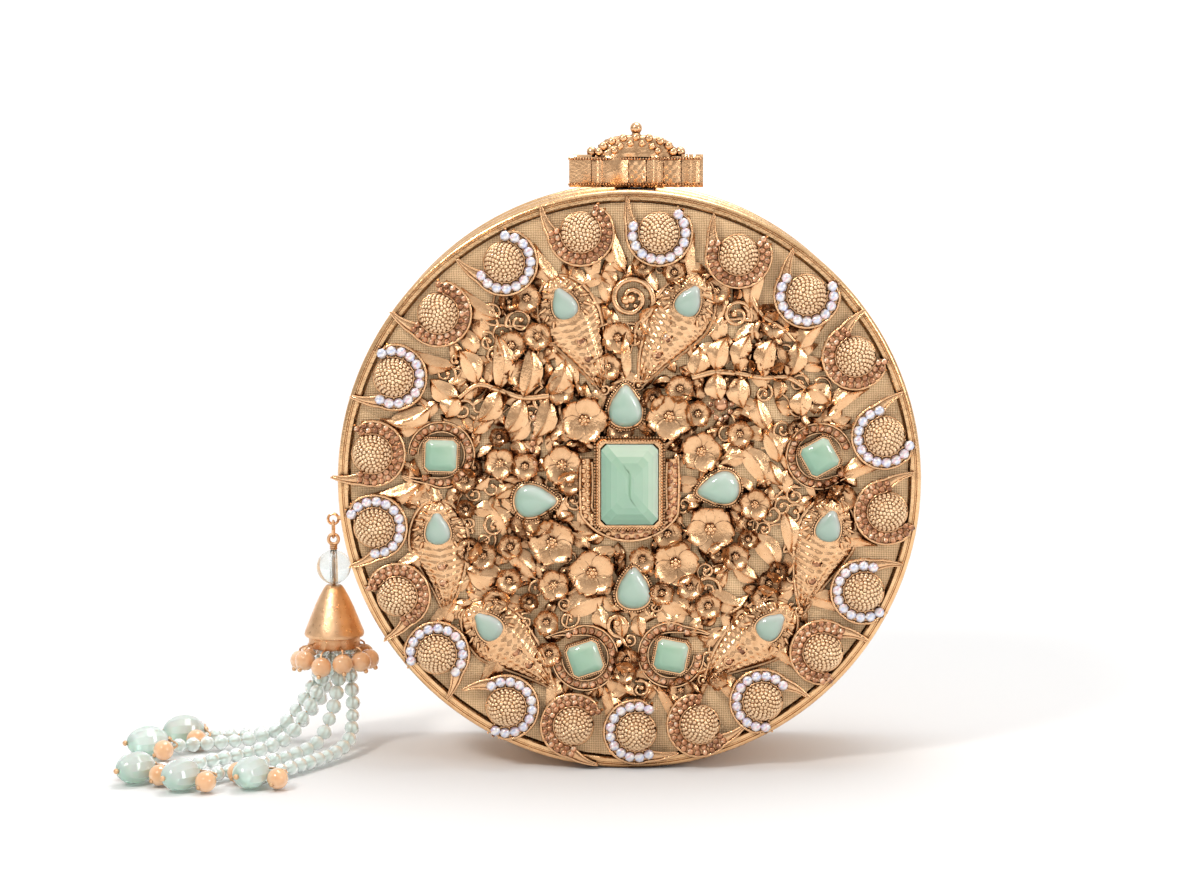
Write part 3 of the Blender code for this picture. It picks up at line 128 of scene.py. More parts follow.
def set_stage():
    set_world()
    area_light("key", (-0.5, -0.7, 0.8), (0, 0, 0.08), 0.18, 4.6, (1, 0.97, 0.93))
    area_light("fill", (0.7, -0.6, 0.35), (0, 0, 0.08), 0.25, 1.6)
    area_light("top", (0.1, 0.1, 0.9), (0, 0, 0.05), 0.5, 3.4)
    wide, front, back, bend, rise, drop = 3.5, -2.5, 1.9, 0.6, 2.5, 0.0002
    profile = [(front, 0), (back, 0)]
    for k in range(1, 13):
        a = math.pi / 2 * k / 12
        profile.append((back + bend * math.sin(a), bend - bend * math.cos(a)))
    profile.append((back + bend, rise))
    verts = [(x, y, z - drop) for y, z in profile for x in (-wide, wide)]
    faces = [(2 * i, 2 * i + 1, 2 * i + 3, 2 * i + 2) for i in range(len(profile) - 1)]
    mesh = bpy.data.meshes.new("floor")
    mesh.from_pydata(verts, [], faces)
    mesh.shade_smooth()
    mesh.materials.append(paper_material())
    floor = bpy.data.objects.new("floor", mesh)
    bpy.context.scene.collection.objects.link(floor)


# Materials
def plain_material(name, colour, roughness, metallic):
    made = bpy.data.materials.new(name)
    made.use_nodes = True
    shader = made.node_tree.nodes["Principled BSDF"]
    shader.inputs["Base Color"].default_value = (*colour, 1)
    shader.inputs["Roughness"].default_value = roughness
    shader.inputs["Metallic"].default_value = metallic
    return made


class Nodes:
    """Small helper that adds nodes and links to one material."""

    def __init__(self, made):
        self.tree = made.node_tree
        self.shader = self.tree.nodes["Principled BSDF"]
        self.coords = self.tree.nodes.new("ShaderNodeTexCoord").outputs["Object"]

    def add(self, kind, **values):
        node = self.tree.nodes.new(kind)
        for key, value in values.items():
            if hasattr(node, key):
                setattr(node, key, value)
            else:
                node.inputs[key].default_value = value
        return node

    def link(self, source, target):
        self.tree.links.new(source, target)

    def paint(self, source):
        self.link(source, self.shader.inputs["Base Color"])

    def set(self, **values):
        """Set the shader's own sockets; an underscore stands for a space."""
        for key, value in values.items():
            self.shader.inputs[key.replace("_", " ")].default_value = value

    def noise(self, scale, detail=3.0):
        node = self.add("ShaderNodeTexNoise")
        node.inputs["Scale"].default_value = scale
        node.inputs["Detail"].default_value = detail
        self.link(self.coords, node.inputs["Vector"])
        return node.outputs["Fac"]

    def ramp(self, source, stops):
        node = self.add("ShaderNodeValToRGB")
        ramp = node.color_ramp
        while len(ramp.elements) < len(stops):
            ramp.elements.new(0.5)
        for element, (place, colour) in zip(ramp.elements, stops):
            element.position = place
            element.color = (*colour, 1)
        self.link(source, node.inputs["Fac"])
        return node.outputs["Color"]

    def mix(self, share, first, second, blend="MIX"):
        node = self.add("ShaderNodeMix", data_type="RGBA", blend_type=blend)
        for socket, value in ((node.inputs[0], share), (node.inputs[6], first), (node.inputs[7], second)):
            if isinstance(value, (int, float)):
                socket.default_value = value
            elif isinstance(value, tuple):
                socket.default_value = (*value, 1)
            else:
                self.link(value, socket)
        return node.outputs[2]

    def bump(self, height, strength, distance):
        node = self.add("ShaderNodeBump")
        node.inputs["Strength"].default_value = strength
        node.inputs["Distance"].default_value = distance
        self.link(height, node.inputs["Height"])
        self.link(node.outputs[0], self.shader.inputs["Normal"])


def gold_material(name, bright, deep, roughness, grain, occlusion=0.004):
    """Worn antique gold: bright on the open tops, with painted shade and brown patina darkening the recesses, fine
    grain.
    """
    made = plain_material(name, bright, roughness, 1.0)
    n = Nodes(made)
    # Painted shade: the occlusion darkens the recesses towards the deep colour, as shade and patina together.
    shade = n.add("ShaderNodeAmbientOcclusion")
    shade.inputs["Distance"].default_value = occlusion
    shade.samples = 6
    middle = tuple(0.62 * a + 0.38 * b for a, b in zip(bright, deep))
    recess_shade_and_patina = n.ramp(shade.outputs["AO"], [(0.30, deep), (0.62, middle), (0.90, bright)])
    patches = n.ramp(n.noise(300.0), [(0.35, (0.80, 0.72, 0.64)), (0.62, (1.0, 1.0, 1.0))])
    n.paint(n.mix(0.6, recess_shade_and_patina, patches, "MULTIPLY"))
    rough = n.ramp(n.noise(800.0), [(0.3, (roughness * 0.65,) * 3), (0.7, (roughness * 1.4,) * 3)])
    n.link(rough, n.shader.inputs["Roughness"])
    n.bump(n.noise(grain, 4.0), 0.30, 0.0003)
    return made


def silk_material(name, colour, dark):
    """Plain weave of metallic thread: two crossed sets of fine ridges with slubs."""
    made = plain_material(name, colour, 0.5, 0.45)
    n = Nodes(made)
    waves = []
    for direction in ("X", "Z"):
        wave = n.add("ShaderNodeTexWave", wave_type="BANDS", bands_direction=direction)
        wave.inputs["Scale"].default_value = 480.0
        wave.inputs["Distortion"].default_value = 1.6
        wave.inputs["Detail"].default_value = 1.0
        n.link(n.coords, wave.inputs["Vector"])
        waves.append(wave.outputs["Fac"])
    weave = n.mix(0.5, waves[0], waves[1])
    tint = n.ramp(weave, [(0.25, dark), (0.7, colour)])
    slub = n.ramp(n.noise(180.0), [(0.3, (0.80, 0.78, 0.75)), (0.7, (1.0, 1.0, 1.0))])
    n.paint(n.mix(0.7, tint, slub, "MULTIPLY"))
    n.set(Sheen_Weight=0.3)
    n.bump(weave, 0.6, 0.0002)
    return made


def painted_facet_shading(n, turn):
    """A value that is even over each facet, taken from the direction that the facet faces: painted light and shade
    on each facet.
    """
    texture = n.add("ShaderNodeTexCoord")
    dot = n.add("ShaderNodeVectorMath", operation="DOT_PRODUCT")
    n.link(texture.outputs["Normal"], dot.inputs[0])
    dot.inputs[1].default_value = (math.cos(turn), 0.15, math.sin(turn))
    shift = n.add("ShaderNodeMath", operation="MULTIPLY_ADD")
    n.link(dot.outputs["Value"], shift.inputs[0])
    shift.inputs[1].default_value = 0.62
    shift.inputs[2].default_value = 0.5
    return shift.outputs[0]


def stone_material(name, colour, deep, lit_facet_colour, roughness=0.05, clear=0.25):
    """Milky cut stone: cloudy colour, with painted light and shade on each facet after the way it faces."""
    made = plain_material(name, colour, roughness, 0.0)
    n = Nodes(made)
    cloud = n.ramp(n.noise(85.0, 2.0), [(0.35, deep), (0.65, colour)])
    # Painted light and shade: each facet is darker or lighter by the way it faces.
    painted_facet_light_and_shade = n.ramp(painted_facet_shading(n, 1.0), [(0.22, deep), (0.42, colour), (0.66, lit_facet_colour)])
    n.paint(n.mix(0.75, cloud, painted_facet_light_and_shade))
    n.set(Subsurface_Weight=0.25, Subsurface_Radius=(0.002, 0.004, 0.003), Subsurface_Scale=1.0,
          Transmission_Weight=clear, Coat_Weight=0.8, Coat_Roughness=0.02)
    n.bump(n.noise(140.0, 1.0), 0.05, 0.0002)
    return made


def crystal_material(name, stops, metallic, roughness=0.06):
    """Small foiled stones: painted glints and shade, in a tint that changes from cell to cell and with the way
    each facet faces.
    """
    made = plain_material(name, stops[0][1], roughness, metallic)
    n = Nodes(made)
    cell = n.add("ShaderNodeTexVoronoi")
    cell.inputs["Scale"].default_value = 620.0
    n.link(n.coords, cell.inputs["Vector"])
    split = n.add("ShaderNodeSeparateColor")
    n.link(cell.outputs["Color"], split.inputs[0])
    both = n.add("ShaderNodeMath", operation="ADD")
    n.link(split.outputs[0], both.inputs[0])
    n.link(painted_facet_shading(n, 2.3), both.inputs[1])
    share = n.add("ShaderNodeMath", operation="MULTIPLY")
    n.link(both.outputs[0], share.inputs[0])
    share.inputs[1].default_value = 0.5
    # Painted glints and shade: the stops give each cell and facet a lighter or darker tint.
    n.paint(n.ramp(share.outputs[0], stops))
    n.set(Coat_Weight=0.8)
    n.bump(cell.outputs["Distance"], 0.35, 0.0003)
    return made


def bead_material(name, colour, deep, transmission, roughness=0.08):
    """Translucent or pearly bead with faint streaks."""
    made = plain_material(name, colour, roughness, 0.0)
    n = Nodes(made)
    n.paint(n.ramp(n.noise(240.0, 2.0), [(0.3, deep), (0.7, colour)]))
    n.set(Transmission_Weight=transmission, IOR=1.45, Coat_Weight=0.5)
    n.bump(n.noise(500.0, 1.0), 0.06, 0.0002)
    return made


# The deep colour of each gold is painted shade and patina, laid in the recesses by the occlusion.
GOLD = gold_material("antique_gold", (0.94, 0.58, 0.32), (0.13, 0.045, 0.014), 0.22, 1500.0, 0.0035)
# The dome gold is a lighter copy of the gold: painted light that brightens the seeded domes.
LIT_DOME_GOLD = gold_material("lit_dome_gold", (1.0, 0.74, 0.48), (0.40, 0.20, 0.085), 0.30, 1500.0, 0.0007)
BAND_GOLD = gold_material("band_gold", (0.94, 0.60, 0.32), (0.20, 0.09, 0.03), 0.22, 900.0, 0.002)
CAP_GOLD = gold_material("brushed_gold", (0.90, 0.58, 0.34), (0.45, 0.24, 0.10), 0.36, 2500.0)
SILK = silk_material("gold_silk", (1.0, 0.72, 0.43), (0.70, 0.45, 0.23))
SATIN = silk_material("lining_satin", (0.62, 0.50, 0.34), (0.42, 0.32, 0.20))
STEEL = gold_material("steel", (0.62, 0.62, 0.62), (0.3, 0.3, 0.3), 0.3, 1200.0)
# The third colour given to the mint, pale and drop stones is painted light on each facet that faces the lit side.
MINT = stone_material("mint_stone", (0.44, 0.66, 0.48), (0.29, 0.52, 0.37), (0.74, 0.87, 0.68))
PALE = stone_material("pale_stone", (0.52, 0.68, 0.56), (0.38, 0.56, 0.45), (0.78, 0.88, 0.79), 0.05)
# The tint stops of the aurora and champagne stones are painted glints and facet shade.
AURORA = crystal_material("aurora_crystal", [
    (0.18, (0.82, 0.80, 0.82)), (0.34, (0.60, 0.66, 0.88)), (0.42, (0.90, 0.88, 0.88)),
    (0.56, (0.92, 0.86, 0.82)), (0.62, (0.90, 0.52, 0.62)), (0.70, (0.88, 0.86, 0.85)),
    (0.86, (0.70, 0.60, 0.80))], 0.4)
CHAMPAGNE = crystal_material("champagne_crystal", [
    (0.15, (0.20, 0.07, 0.025)), (0.42, (0.50, 0.21, 0.09)), (0.64, (0.80, 0.40, 0.21)),
    (0.85, (1.0, 0.80, 0.60))], 0.65)
PEARL = bead_material("peach_pearl", (0.93, 0.58, 0.33), (0.84, 0.44, 0.21), 0.12, 0.08)
DROP = stone_material("drop_stone", (0.74, 0.91, 0.83), (0.60, 0.84, 0.73), (0.92, 0.98, 0.95), 0.04, 0.5)
AQUA = bead_material("aqua_bead", (0.90, 0.97, 0.94), (0.76, 0.91, 0.85), 0.6)
CLEAR = bead_material("clear_glass", (0.93, 0.97, 0.96), (0.88, 0.94, 0.93), 0.92, 0.02)


# Mesh building: one Batch is one object with several closed shapes and materials
X = Vector((1, 0, 0))
Y = Vector((0, 1, 0))
Z = Vector((0, 0, 1))


def circle(centre, radius, across, up, count, start=0.0):
    """Points round a centre, in the plane of two directions."""
    turns = [start + 2 * math.pi * i / count for i in range(count)]
    return [centre + (across * math.cos(a) + up * math.sin(a)) * radius for a in turns]


class Batch:
    def __init__(self):
        self.verts, self.faces, self.slots, self.materials, self.flat = [], [], [], [], []

    def slot(self, finish):
        if finish not in self.materials:
            self.materials.append(finish)
        return self.materials.index(finish)

    def put(self, verts, faces, finish, flat=False):
        start, slot = len(self.verts), self.slot(finish)
        self.flat += [flat] * len(faces)
        self.verts += [tuple(v) for v in verts]
        self.faces += [tuple(i + start for i in face) for face in faces]
        self.slots += [slot] * len(faces)

    def grid(self, rows, finish, caps=True, flat=False):
        """Closed tube-like surface through rows of equal count."""
        count = len(rows[0])
        verts = [v for row in rows for v in row]
        faces = []
        for r in range(len(rows) - 1):
            for i in range(count):
                j = (i + 1) % count
                faces.append((r * count + i, r * count + j, (r + 1) * count + j, (r + 1) * count + i))
        if caps:
            faces.append(tuple(reversed(range(count))))
            faces.append(tuple((len(rows) - 1) * count + i for i in range(count)))
        self.put(verts, faces, finish, flat)

    def ball(self, centre, radius, finish, squash=1.0, rings=6, sides=10):
        rows = []
        for r in range(1, rings):
            a = math.pi * r / rings
            middle = Vector(centre) - Y * radius * squash * math.cos(a)
            rows.append(circle(middle, radius * math.sin(a), X, Z, sides))
        self.grid(rows, finish)

    def tube(self, points, radii, finish, sides=8, flat=1.0):
        """Sweep of a round or flattened section along points near the front face."""
        rows = []
        last = len(points) - 1
        if isinstance(radii, float):
            radii = [radii] * len(points)
        for k, (point, radius) in enumerate(zip(points, radii)):
            along = (points[min(k + 1, last)] - points[max(k - 1, 0)]).normalized()
            side = along.cross(-Y)
            side = side.normalized() if side.length > 1e-6 else X
            up = side.cross(along).normalized()
            rows.append(circle(point, radius, side, up * flat, sides))
        self.grid(rows, finish)

    def gem(self, centre, radius, finish, turn=0.0):
        """Small faceted stone: eight-sided girdle, crown and table."""
        rows = []
        for scale, lift, shift in ((0.7, -0.5, 0), (1.0, 0, 0), (0.98, 0.12, 0), (0.55, 0.62, math.pi / 8)):
            rows.append(circle(centre - Y * radius * lift * 0.75, radius * scale, X, Z, 8, turn + shift))
        self.grid(rows, finish, flat=True)

    def cast(self, node, smooth, slot="antique_gold"):
        """Casting on the front half that takes the place of one node."""
        self.finish(node + "_cast", slot, "front_half", [node], smooth)

    def finish(self, name, slot, body, nodes, smooth):
        mesh = bpy.data.meshes.new(name)
        mesh.from_pydata(self.verts, [], self.faces)
        for finish in self.materials:
            mesh.materials.append(finish)
        mesh.shade_smooth()
        for polygon, index, flat in zip(mesh.polygons, self.slots, self.flat):
            polygon.material_index = index
            polygon.use_smooth = not flat
        mesh.validate()
        mesh.set_sharp_from_angle(angle=math.radians(smooth))
        piece = bpy.data.objects.new(name, mesh)
        bpy.context.scene.collection.objects.link(piece)
        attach(piece, body)
        if nodes:
            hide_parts(*nodes)
        return piece


def on_face(x, z, height):
    """Point over the front panel: x and z in millimetres from the case centre, height in millimetres."""
    return Vector((x / 1000, -(PANEL_Y + height / 1000), CENTRE_Z + z / 1000))


def around(x, z, radius, angle_deg):
    a = math.radians(angle_deg)
    return x + radius * math.cos(a), z + radius * math.sin(a)


def beside(origin, heading, u, v):
    """Point u along a heading and v to its left, in millimetres."""
    return origin[0] + heading[0] * u - heading[1] * v, origin[1] + heading[1] * u + heading[0] * v


def outward(centre, spot, offset):
    """Spot moved away from a centre, in millimetres."""
    dx, dz = spot[0] - centre[0], spot[1] - centre[1]
    f = 1 + offset / math.hypot(dx, dz)
    return centre[0] + dx * f, centre[1] + dz * f


def bezier(points, count):
    """Smooth curve through a few points, as count points."""
    ends = [2 * points[0] - points[1], *points, 2 * points[-1] - points[-2]]
    result = []
    spans = len(points) - 1
    for i in range(count):
        t = spans * i / (count - 1)
        k = min(int(t), spans - 1)
        u = t - k
        a, b, c, d = ends[k:k + 4]
        result.append(0.5 * (2 * b + (c - a) * u + (2 * a - 5 * b + 4 * c - d) * u * u
                             + (3 * b - a - 3 * c + d) * u ** 3))
    return result


def relief(batch, origin, heading, form, rows_n, across):
    """Leaf-like casting: form gives length, side, top and underside at t along and s across."""
    rows = []
    for r in range(rows_n):
        top, low = [], []
        for c in range(across + 1):
            u, v, high, under = form(r / (rows_n - 1), 2 * c / across - 1)
            spot = beside(origin, heading, u, v)
            top.append(on_face(*spot, high))
            low.append(on_face(*spot, under))
        rows.append(top + low[::-1])
    batch.grid(rows, GOLD)


def leaf(batch, base, tip, width, lift=0.6, arch=1.8, bend=0.12, rows_n=17, across=10):
    """Leaf with a raised midrib and side veins; base and tip in millimetres from the case centre."""
    length = math.hypot(tip[0] - base[0], tip[1] - base[1])
    heading = (tip[0] - base[0]) / length, (tip[1] - base[1]) / length

    def form(t, s):
        half = width / 2 * (math.sin(math.pi * min(1, t * 1.02) ** 0.8) ** 0.85 + 0.03)
        vein = 0.11 * math.cos((t * 7 - abs(s) * 1.4) * 2 * math.pi) * (1 - abs(s)) * 1.2
        crest = arch * (0.45 + 0.55 * math.sin(math.pi * t)) * (1 - 0.55 * abs(s) ** 1.3)
        rib = 0.34 if s == 0 else 0
        return (t * length + abs(s) * half * 0.25, s * half + bend * length * math.sin(math.pi * t),
                lift + crest + vein + rib, lift - 0.1)

    relief(batch, base, heading, form, rows_n, across)


# The 21 settings on the rim, as in the photograph: angle, distance in millimetres, tip, sense, stones
RIM = [
    (101.0, 69.8, 152.8, 1, "C"), (83.4, 68.9, 137.6, 1, "A"), (64.7, 69.1, 127.0, 1, "C"),
    (47.0, 70.6, 112.7, 1, "A"), (29.5, 70.6, 85.0, 1, "C"), (10.5, 70.8, 74.0, 1, "A"),
    (-6.4, 71.0, 62.0, 1, "C"), (-25.0, 71.0, 41.0, 1, "A"), (-41.4, 71.0, 20.0, 1, "C"),
    (-58.8, 71.0, 11.0, 1, "A"), (-73.9, 70.0, -5.0, -1, "C"), (-88.4, 69.3, -33.0, -1, "A"),
    (-102.9, 69.3, -65.0, -1, "C"), (-118.6, 71.0, 152.0, -1, "A"), (-138.2, 71.2, -71.5, 1, "A"),
    (-153.9, 71.0, -101.0, 1, "C"), (-170.1, 71.0, -116.6, 1, "A"), (173.4, 70.8, 215.5, 1, "C"),
    (155.6, 70.6, 210.0, 1, "A"), (138.2, 69.8, 184.0, 1, "C"), (119.4, 69.4, 182.0, 1, "A"),
]


def comma_path(x, z, tip_deg, sense, ring, tail, sweep, count):
    """Centre line of a comma: from the tail's tip round the dome."""
    points = []
    for i in range(count):
        t = i / (count - 1)
        turn = sweep * t
        radius = ring + (tail - ring) * max(0, 1 - turn / 42) ** 1.6
        points.append(around(x, z, radius, tip_deg + sense * (turn - 6)))
    return points


def rails(batch, centre, path, offsets, shares, height, wires):
    """Wires along a comma's line, at offsets from it that narrow with the shares."""
    for offset in offsets:
        rail = [on_face(*outward(centre, spot, offset * share), height) for spot, share in zip(path, shares)]
        batch.tube(rail, wires, GOLD, 6)


def crescent(batch, centre, path, taper, half, base, rise):
    """Raised band along a comma's line, with a rounded top and a wire along each edge."""
    section = ((-1, 0), (-1, 0.75), (-0.5, 1), (0.5, 1), (1, 0.75), (1, 0))
    rows = []
    for spot, share in zip(path, taper):
        rows.append([on_face(*outward(centre, spot, side * half * share), base + rise * lift)
                     for side, lift in section])
    batch.grid(rows, GOLD)
    wires = [0.0004 * (0.4 + 0.6 * share) for share in taper]
    rails(batch, centre, path, (-half, half), taper, base + rise * 0.95, wires)


# Rim settings in millimetres: the cup's underside over the silk, its line and the dome
CUP_BASE = 1.8
CUP_RING = 7.15
CUP_TAIL = 12.8
CUP_SWEEP = 276
CUP_STEPS = 44
CUP_HALF = 1.75
CUP_RISE = 1.3
DOME_RADIUS = 4.95
DOME_HEIGHT = 5.0


def rim_setting(number):
    angle, distance, tip_deg, sense, kind = RIM[number]
    centre = around(0, 0, distance, angle)
    batch = Batch()

    def spot(reach, turn, height):
        return on_face(*around(*centre, reach, tip_deg + sense * turn), CUP_BASE + height)

    path = comma_path(*centre, tip_deg, sense, CUP_RING, CUP_TAIL, CUP_SWEEP, CUP_STEPS)
    last = CUP_STEPS - 1
    taper = [min(1, 0.22 + i / 5.5) * min(1, 0.35 + (last - i) / 6) for i in range(CUP_STEPS)]
    crescent(batch, centre, path, taper, CUP_HALF, CUP_BASE, CUP_RISE)
    if kind == "C":
        for reach, count, start in ((6.45, 15, 24), (7.95, 17, 29)):
            for i in range(count):
                batch.gem(spot(reach, start + 236 * i / (count - 1), 1.55), 0.00088, CHAMPAGNE, i * 0.7)
    else:
        for i in range(12):
            batch.gem(spot(7.2, 28 + 238 * i / 11, 1.6), 0.00142, AURORA, i * 0.7)
            for reach in (7.2 - 1.55, 7.2 + 1.55):
                batch.ball(spot(reach, 28 + 238 * (i + 0.5) / 11, 1.45), 0.00034, GOLD, 1.0, 4, 6)
    for i in range(16):
        turn = 40 + 226 * i / 15
        batch.tube([spot(8.6, turn, 0.9), spot(9.15, turn, 0.25)], [0.00055, 0.0004], GOLD, 6)
    knurled_dome(batch, centre, DOME_RADIUS, CUP_BASE + 0.3, DOME_HEIGHT, angle)
    batch.tube([on_face(*around(*centre, 5.4, 15 * i), CUP_BASE + 0.9) for i in range(26)], 0.0004, GOLD, 6)
    batch.cast(f"rim_setting_{number + 1:02d}", 65)


def knurled_dome(batch, centre, radius, low, height, turn, rings=8, pitch=1.16):
    """Dome set with close rings of small seeds, each ring half a step round from the last."""
    rows = []
    for r in range(9):
        a = math.pi / 2 * (0.01 + 0.98 * r / 8)
        rows.append([on_face(*around(*centre, radius * math.cos(a), 15 * i), low + height * math.sin(a))
                     for i in range(24)])
    batch.grid(rows, LIT_DOME_GOLD)
    for r in range(rings):
        a = math.pi / 2 * (0.07 + 0.93 * r / (rings - 1))
        reach = radius * math.cos(a)
        count = max(1, round(2 * math.pi * reach / pitch))
        for i in range(count):
            spot = around(*centre, reach, turn + 360 * (i + 0.5 * (r % 2)) / count)
            batch.ball(on_face(*spot, low + height * math.sin(a)), 0.00062, LIT_DOME_GOLD, 1.0, 5, 8)


def band_profile():
    """Section of one half's wall as radius and distance from the seam, in metres."""
    outer, wall, inner = CASE_R, CASE_R - GROOVE, 0.0776
    seam = [(inner, 0.00015), (outer - 0.0003, 0.00015), (outer, 0.0005), (outer, 0.0018),
            (outer - 0.0003, 0.0022), (wall - 0.0002, 0.0026)]
    side = [(wall, 0.0032 + 0.0182 * k / 20) for k in range(21)]
    edge = [(wall - 0.0002, 0.0219), (outer - 0.0002, 0.0223), (outer, 0.0228), (outer, 0.0240),
            (outer - 0.0003, 0.0246), (outer - 0.0008, 0.0250), (0.0789, 0.0250), (0.0787, 0.0247),
            (0.0784, 0.0247), (0.0782, 0.0250), (0.0773, 0.0250), (0.0770, 0.0247), (0.0770, 0.0212),
            (0.0742, 0.0212), (0.0742, 0.0202), (inner, 0.0202)]
    return seam + side + edge


def make_bands():
    """Half-case walls: bead mouldings and an engraved, scrolled middle."""
    profile = band_profile()
    for name, side in (("front_band", -1), ("back_band", 1)):
        batch = Batch()
        rows = []
        for i in range(BAND_SEGMENTS):
            phi = 2 * math.pi * i / BAND_SEGMENTS
            row = []
            for radius, along in profile:
                if 0.003 < along < 0.0216 and radius > 0.079:
                    u, v = phi * 40, (along - 0.0123) / 0.0092
                    scroll = math.sin(u + 2.4 * math.sin(math.pi * v)) * math.sin(u * 0.5 + 4.0 * v)
                    radius += 0.00042 * scroll * math.cos(math.pi * v / 2) - 0.0001
                px, pz = radius * math.cos(phi), radius * math.sin(phi)
                if abs(px) < HINGE_HALF and pz < 0:
                    along = max(along, HINGE_CLEAR)
                row.append(Vector((px, side * along, CENTRE_Z + pz)))
            rows.append(row)
        rows.append(rows[0])
        batch.grid(rows, BAND_GOLD, False)
        batch.finish(name + "_wall", "antique_gold", BODY[name], [name], 40)


def disc_row(radius, y, count=96):
    """Circle about the case's axis."""
    return circle(Vector((0, y, CENTRE_Z)), radius, X, Z, count)


def round_panel(name, side):
    """Padded fabric disc, very slightly crowned."""
    batch = Batch()
    rows = [disc_row(PANEL_R * f, side * (PANEL_Y + 0.0002 * (1 - f * f)))
            for f in (0.02, 0.3, 0.6, 0.85, 0.96, 1.0)]
    rows.append([v - Vector((0, side * 0.0018, 0)) for v in rows[-1]])
    batch.grid(rows, SILK)
    batch.finish(name + "_cloth", "gold_silk", BODY[name], [name], 40)


def bead_line(batch, points, radius, closed=True, step=None):
    """Row of small balls (milgrain) along points."""
    step = step or radius * 2.05
    loop = points + points[:1] if closed else points
    lengths = [0.0]
    for a, b in zip(loop, loop[1:]):
        lengths.append(lengths[-1] + (b - a).length)
    count = max(3, round(lengths[-1] / step))
    k = 0
    for i in range(count):
        wanted = lengths[-1] * i / count
        while lengths[k + 1] < wanted:
            k += 1
        share = (wanted - lengths[k]) / max(lengths[k + 1] - lengths[k], 1e-9)
        batch.ball(loop[k].lerp(loop[k + 1], share), radius, GOLD, 1.0, 5, 7)


def pear_points(x, z, length, width, point_deg, height, count=36, grow=0.0):
    """Outline of a drop, round at one end and pointed at the other, in millimetres."""
    result = []
    heading = around(0, 0, 1, point_deg)
    for i in range(count):
        a = 2 * math.pi * i / count
        u = math.cos(a) * length / 2
        v = math.sin(a) * width / 2 * (1 - 0.42 * math.cos(a)) * (1.06 if abs(a - math.pi) < 2 else 1)
        f = 1 + grow / max(math.hypot(u, v), 0.1)
        result.append(on_face(*beside((x, z), heading, u * f, v * f), height))
    return result


def cabochon(batch, x, z, length, width, point_deg, base, height, finish):
    """Smooth domed drop of glass in a collet with a beaded edge."""
    middle = on_face(x, z, 0)
    rows = []
    for share, rise in ((1.0, 0.0), (1.0, 0.35), (0.94, 0.6), (0.8, 0.8), (0.6, 0.92), (0.35, 0.98),
                        (0.08, 1.0)):
        ring = pear_points(x, z, length, width, point_deg, base + height * rise)
        rows.append([Vector((middle.x + (p.x - middle.x) * share, p.y, middle.z + (p.z - middle.z) * share))
                     for p in ring])
    batch.grid(rows, finish)
    wall = [pear_points(x, z, length, width, point_deg, h, 36, g) for h, g in
            ((0.1, 0.9), (base + 0.6, 0.75), (base + 1.1, 0.45), (base + 1.1, 0.05), (0.1, 0.0))]
    batch.grid(wall + wall[:1], GOLD, False)
    bead_line(batch, pear_points(x, z, length, width, point_deg, base + 0.75, 36, 0.95), 0.00036)


def rosette(batch, x, z, radius, lift):
    """Small round stone in a wire ring."""
    ring = [on_face(*around(x, z, radius, 30 * i), lift + 0.25) for i in range(12)]
    batch.tube(ring + ring[:2], 0.00028, GOLD, 6)
    bead_line(batch, [on_face(*around(x, z, radius + 0.45, 24 * i), lift) for i in range(15)], 0.0002)
    batch.gem(on_face(x, z, lift + 0.2), radius * 0.00085, CHAMPAGNE, x)


def curl(batch, x, z, radius, turns, start_deg, sense, lift, wire=0.55, stem=None):
    """Flat spiral of tapering wire, with a stem that leads into it."""
    points, radii = [], []
    if stem:
        sx, sz = around(x, z, radius, start_deg)
        run = sx - stem[0], sz - stem[1]
        for t in (0.0, 0.25, 0.5, 0.75):
            points.append(on_face(*beside(stem, run, t, math.sin(math.pi * t) * 0.18 * sense), lift))
            radii.append(wire / 1000 * (0.6 + 0.4 * t))
    steps = int(22 * turns)
    for i in range(steps + 1):
        t = i / steps
        spot = around(x, z, radius * (1 - 0.78 * t), start_deg + sense * 360 * turns * t)
        points.append(on_face(*spot, lift + 0.5 * t))
        radii.append(wire / 1000 * (1 - 0.25 * t))
    batch.tube(points, radii, GOLD, 8)
    batch.ball(points[-1], wire / 1000 * 1.5, GOLD, 1.0, 6, 10)


def flower(batch, x, z, radius, turn, lift=0.6, rows_n=8, across=8):
    """Five cupped, veined petals round a cluster of small balls."""
    for k in range(5):
        raised = lift + (k % 2) * 0.18

        def form(t, s):
            half = radius * 0.52 * math.sin(math.pi * min(0.97, 0.1 + 0.87 * t)) ** 0.6
            reach = radius * (0.14 + 0.86 * t) * (1 - 0.10 * (1 - abs(s)) * (t > 0.9))
            cup = raised + 0.5 + 1.5 * t * t + 0.9 * s * s * t + 0.14 * math.cos(s * 12)
            return reach, s * half, cup, cup - 0.55

        relief(batch, (x, z), around(0, 0, 1, turn + 72 * k), form, rows_n, across)
    for k in range(6):
        spot = around(x, z, radius * 0.15, 60 * k + turn)
        batch.ball(on_face(*spot, lift + 1.6), radius * 0.00009, GOLD, 1.0, 5, 7)
    batch.ball(on_face(x, z, lift + 1.8), radius * 0.00013, GOLD, 1.0, 6, 8)


PAISLEYS = [
    (-17.6, 48.4, -8.2, 25.2, 1), (15.8, 49.2, 3.6, 26.4, -1),
    (-52.5, -13.5, -51.3, -36.2, 1), (54.5, -12.7, 48.4, -36.0, -1),
    (-38.4, -40.2, -21.8, -57.4, 1), (38.4, -40.2, 21.4, -55.8, -1),
]


